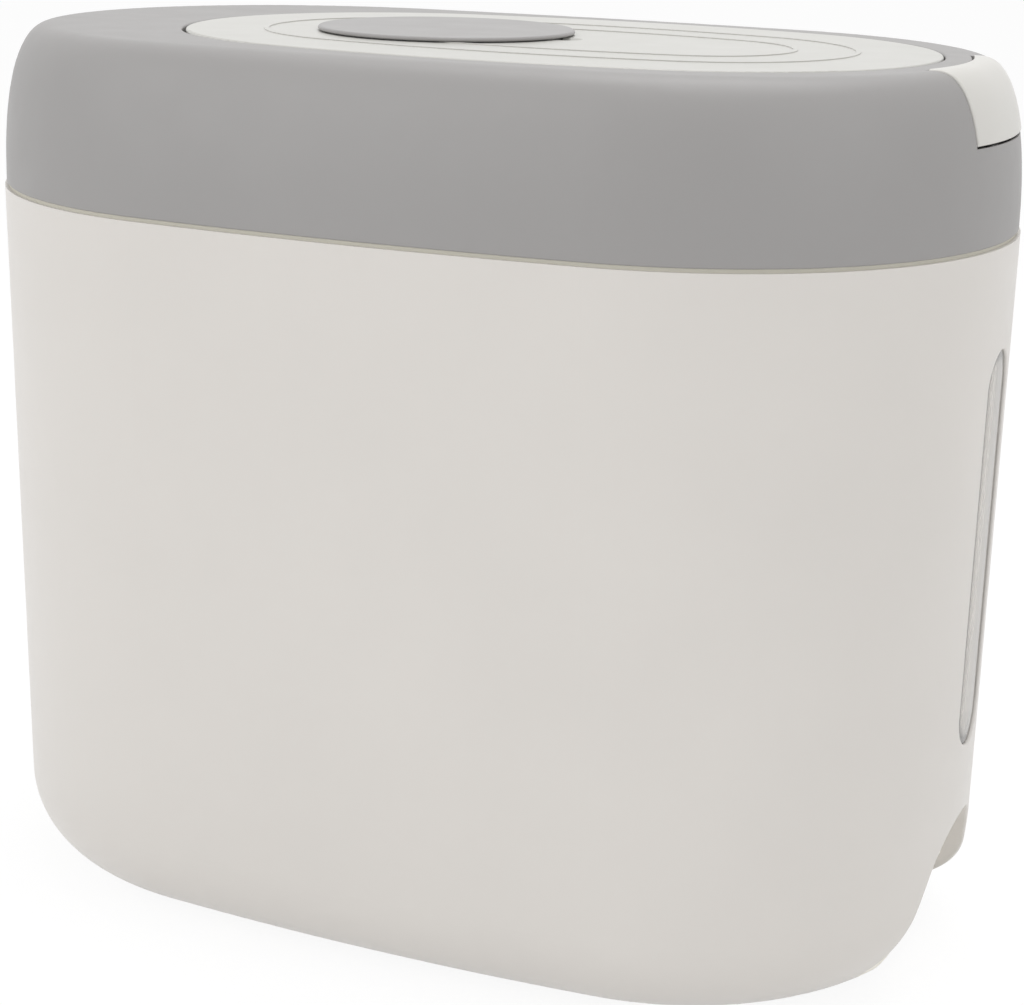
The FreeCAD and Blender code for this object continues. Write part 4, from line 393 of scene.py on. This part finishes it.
def driver_bar(place, lengthwise):
    """One bar of a driver's tip that points up, narrower at its inner end."""
    bpy.ops.object.select_all(action="DESELECT")
    bpy.ops.mesh.primitive_cube_add(size=1, location=place)
    bar = bpy.context.object
    size = (CROSS_LENGTH, CROSS_WIDTH) if lengthwise else (CROSS_WIDTH, CROSS_LENGTH)
    bar.scale = (*size, 2 * CROSS_DEPTH)
    bpy.ops.object.transform_apply(location=True, rotation=False, scale=True)
    bpy.ops.object.mode_set(mode="EDIT")
    bpy.ops.mesh.select_all(action="DESELECT")
    bpy.ops.object.mode_set(mode="OBJECT")
    for face in bar.data.polygons:
        face.select = face.normal.z > FACING_UP
    bpy.ops.object.mode_set(mode="EDIT")
    bpy.ops.transform.resize(value=(CROSS_TAPER, CROSS_TAPER, 1), center_override=place)
    bpy.ops.object.mode_set(mode="OBJECT")
    return bar


def cut_by(piece, cutter):
    """Take a cutter's shape out of a piece, and remove the cutter."""
    step = piece.modifiers.new("cut", "BOOLEAN")
    step.operation = "DIFFERENCE"
    step.object = cutter
    bpy.context.view_layer.objects.active = piece
    bpy.ops.object.modifier_apply(modifier=step.name)
    bpy.data.objects.remove(cutter)


def crossed_heads(node_name, body):
    """A group of screws that point up, with a cross in the underside of every head."""
    copy_and_merge(node_name)
    bpy.ops.object.mode_set(mode="EDIT")
    bpy.ops.mesh.separate(type="LOOSE")
    bpy.ops.object.mode_set(mode="OBJECT")
    screws = list(bpy.context.selected_objects)
    for screw in screws:
        corners = [Vector(corner) for corner in screw.bound_box]
        centre = sum(corners, Vector()) / 8
        centre.z = min(corner.z for corner in corners)
        for lengthwise in (True, False):
            cut_by(screw, driver_bar(tuple(centre), lengthwise))
    bpy.ops.object.select_all(action="DESELECT")
    for screw in screws:
        screw.select_set(True)
    bpy.context.view_layer.objects.active = screws[0]
    bpy.ops.object.join()
    piece = bpy.context.object
    piece.name = "crossed_" + node_name
    bpy.ops.object.shade_smooth_by_angle(angle=SMOOTH_UNDER)
    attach(piece, body)
    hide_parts(node_name)
    return len(screws)


cut_heads = [crossed_heads("bay_screws", "housing"), crossed_heads("hopper_screws", "housing"),
             crossed_heads("lid_screws", "lid")]
print(sum(cut_heads), "screw heads crossed")

# %% [markdown]
# ## Floor, lights and camera
#
# The bin stands on a white sweep. A white floor that is only lit would need so much light that
# the plastic clipped to white too. So the floor is part paint and part white glow: the lamp
# rays that bounce onto the bin meet the paint, while the camera, and anything glossy or clear,
# sees mostly the glow. The paint that is left in the mix still darkens under the bin, and that
# is the soft shadow where it stands.

# %% A white floor that keeps the shadow
SHADOW_SHARE = 0.12
FLOOR_GLOW = 1.03
FLOOR_SIZE = 12
FLOOR_GAP = 0.2 * MM


def seen_directly(tree):
    """One where the ray comes from the camera, a gloss or a clear piece, and nought elsewhere."""
    path = tree.nodes.new("ShaderNodeLightPath")
    total = path.outputs["Is Camera Ray"]
    for kind in ("Is Glossy Ray", "Is Transmission Ray"):
        either = tree.nodes.new("ShaderNodeMath")
        either.operation = "MAXIMUM"
        tree.links.new(total, either.inputs[0])
        tree.links.new(path.outputs[kind], either.inputs[1])
        total = either.outputs["Value"]
    return total


def ranged(tree, value, low, high):
    """Turn a nought-to-one value into a low-to-high one."""
    change = tree.nodes.new("ShaderNodeMapRange")
    change.inputs["To Min"].default_value = low
    change.inputs["To Max"].default_value = high
    tree.links.new(value, change.inputs["Value"])
    return change.outputs["Result"]


bpy.ops.object.select_all(action="DESELECT")
bpy.ops.mesh.primitive_plane_add(size=FLOOR_SIZE, location=(0, 0, -FLOOR_GAP))
floor = bpy.context.object
floor.name = "studio_floor"
floor_paint, tree, shader, coords = start_material("floor_paint")
shader.inputs["Roughness"].default_value = 0.9
shader.inputs["Specular IOR Level"].default_value = 0.1
tree.links.new(two_tones(tree, noise(tree, coords, 3, 2), (0.93, 0.93, 0.93), (0.95, 0.95, 0.95)),
               shader.inputs["Base Color"])
glow = tree.nodes.new("ShaderNodeEmission")
glow.inputs["Strength"].default_value = FLOOR_GLOW
mix = tree.nodes.new("ShaderNodeMixShader")
tree.links.new(ranged(tree, seen_directly(tree), 0.0, 1.0 - SHADOW_SHARE), mix.inputs["Fac"])
tree.links.new(shader.outputs["BSDF"], mix.inputs[1])
tree.links.new(glow.outputs["Emission"], mix.inputs[2])
tree.links.new(mix.outputs["Shader"], tree.nodes["Material Output"].inputs["Surface"])
floor.data.materials.append(floor_paint)
print("floor laid")

# %% World and soft lamps
SKY_LIGHT = 0.58

world = bpy.data.worlds.new("studio")
bpy.context.scene.world = world
world.use_nodes = True
sky = world.node_tree.nodes["Background"]
sky.inputs["Color"].default_value = (1, 1, 1, 1)
world.node_tree.links.new(ranged(world.node_tree, seen_directly(world.node_tree), SKY_LIGHT, 1.0),
                          sky.inputs["Strength"])


def soft_lamp(name, place, target, size, watts):
    """A rectangular area lamp that faces a point."""
    lamp = bpy.data.lights.new(name, "AREA")
    lamp.shape = "RECTANGLE"
    lamp.size = size[0]
    lamp.size_y = size[1]
    lamp.energy = watts
    holder = bpy.data.objects.new(name, lamp)
    bpy.context.collection.objects.link(holder)
    holder.location = place
    aim = Vector(target) - Vector(place)
    holder.rotation_euler = aim.to_track_quat("-Z", "Y").to_euler()
    return holder


middle = (0, 0, 0.15)
soft_lamp("key_lamp", (-1.1, -1.5, 1.0), middle, (1.6, 1.6), 12)
soft_lamp("side_lamp", (1.6, -0.6, 0.9), middle, (1.4, 1.4), 5.5)
soft_lamp("top_lamp", (0.1, 0.3, 1.8), middle, (1.4, 1.2), 14)
bpy.context.scene.view_settings.view_transform = "Standard"
print("lamps set")

# %% The camera, as a turn about Z, a pitch and a small roll
CAMERA_PLACE = Vector((0.32409, -0.71770, 0.36481))
CAMERA_YAW, CAMERA_PITCH, CAMERA_ROLL = (math.radians(a) for a in (23.75, -16.06, 1.35))
FOCAL_LENGTH = 81.66

ahead = Vector((-math.sin(CAMERA_YAW) * math.cos(CAMERA_PITCH),
                math.cos(CAMERA_YAW) * math.cos(CAMERA_PITCH), math.sin(CAMERA_PITCH)))
right = Vector((math.cos(CAMERA_YAW), math.sin(CAMERA_YAW), 0))
up = right.cross(ahead)
rolled_right = math.cos(CAMERA_ROLL) * right + math.sin(CAMERA_ROLL) * up
rolled_up = -math.sin(CAMERA_ROLL) * right + math.cos(CAMERA_ROLL) * up
turn = Matrix((rolled_right, rolled_up, -ahead)).transposed()

camera_data = bpy.data.cameras.new("camera")
camera_data.sensor_width = 36
camera_data.lens = FOCAL_LENGTH
camera = bpy.data.objects.new("camera", camera_data)
bpy.context.collection.objects.link(camera)
camera.matrix_world = Matrix.Translation(CAMERA_PLACE) @ turn.to_4x4()
bpy.context.scene.camera = camera
print("camera at", [round(v, 3) for v in CAMERA_PLACE])
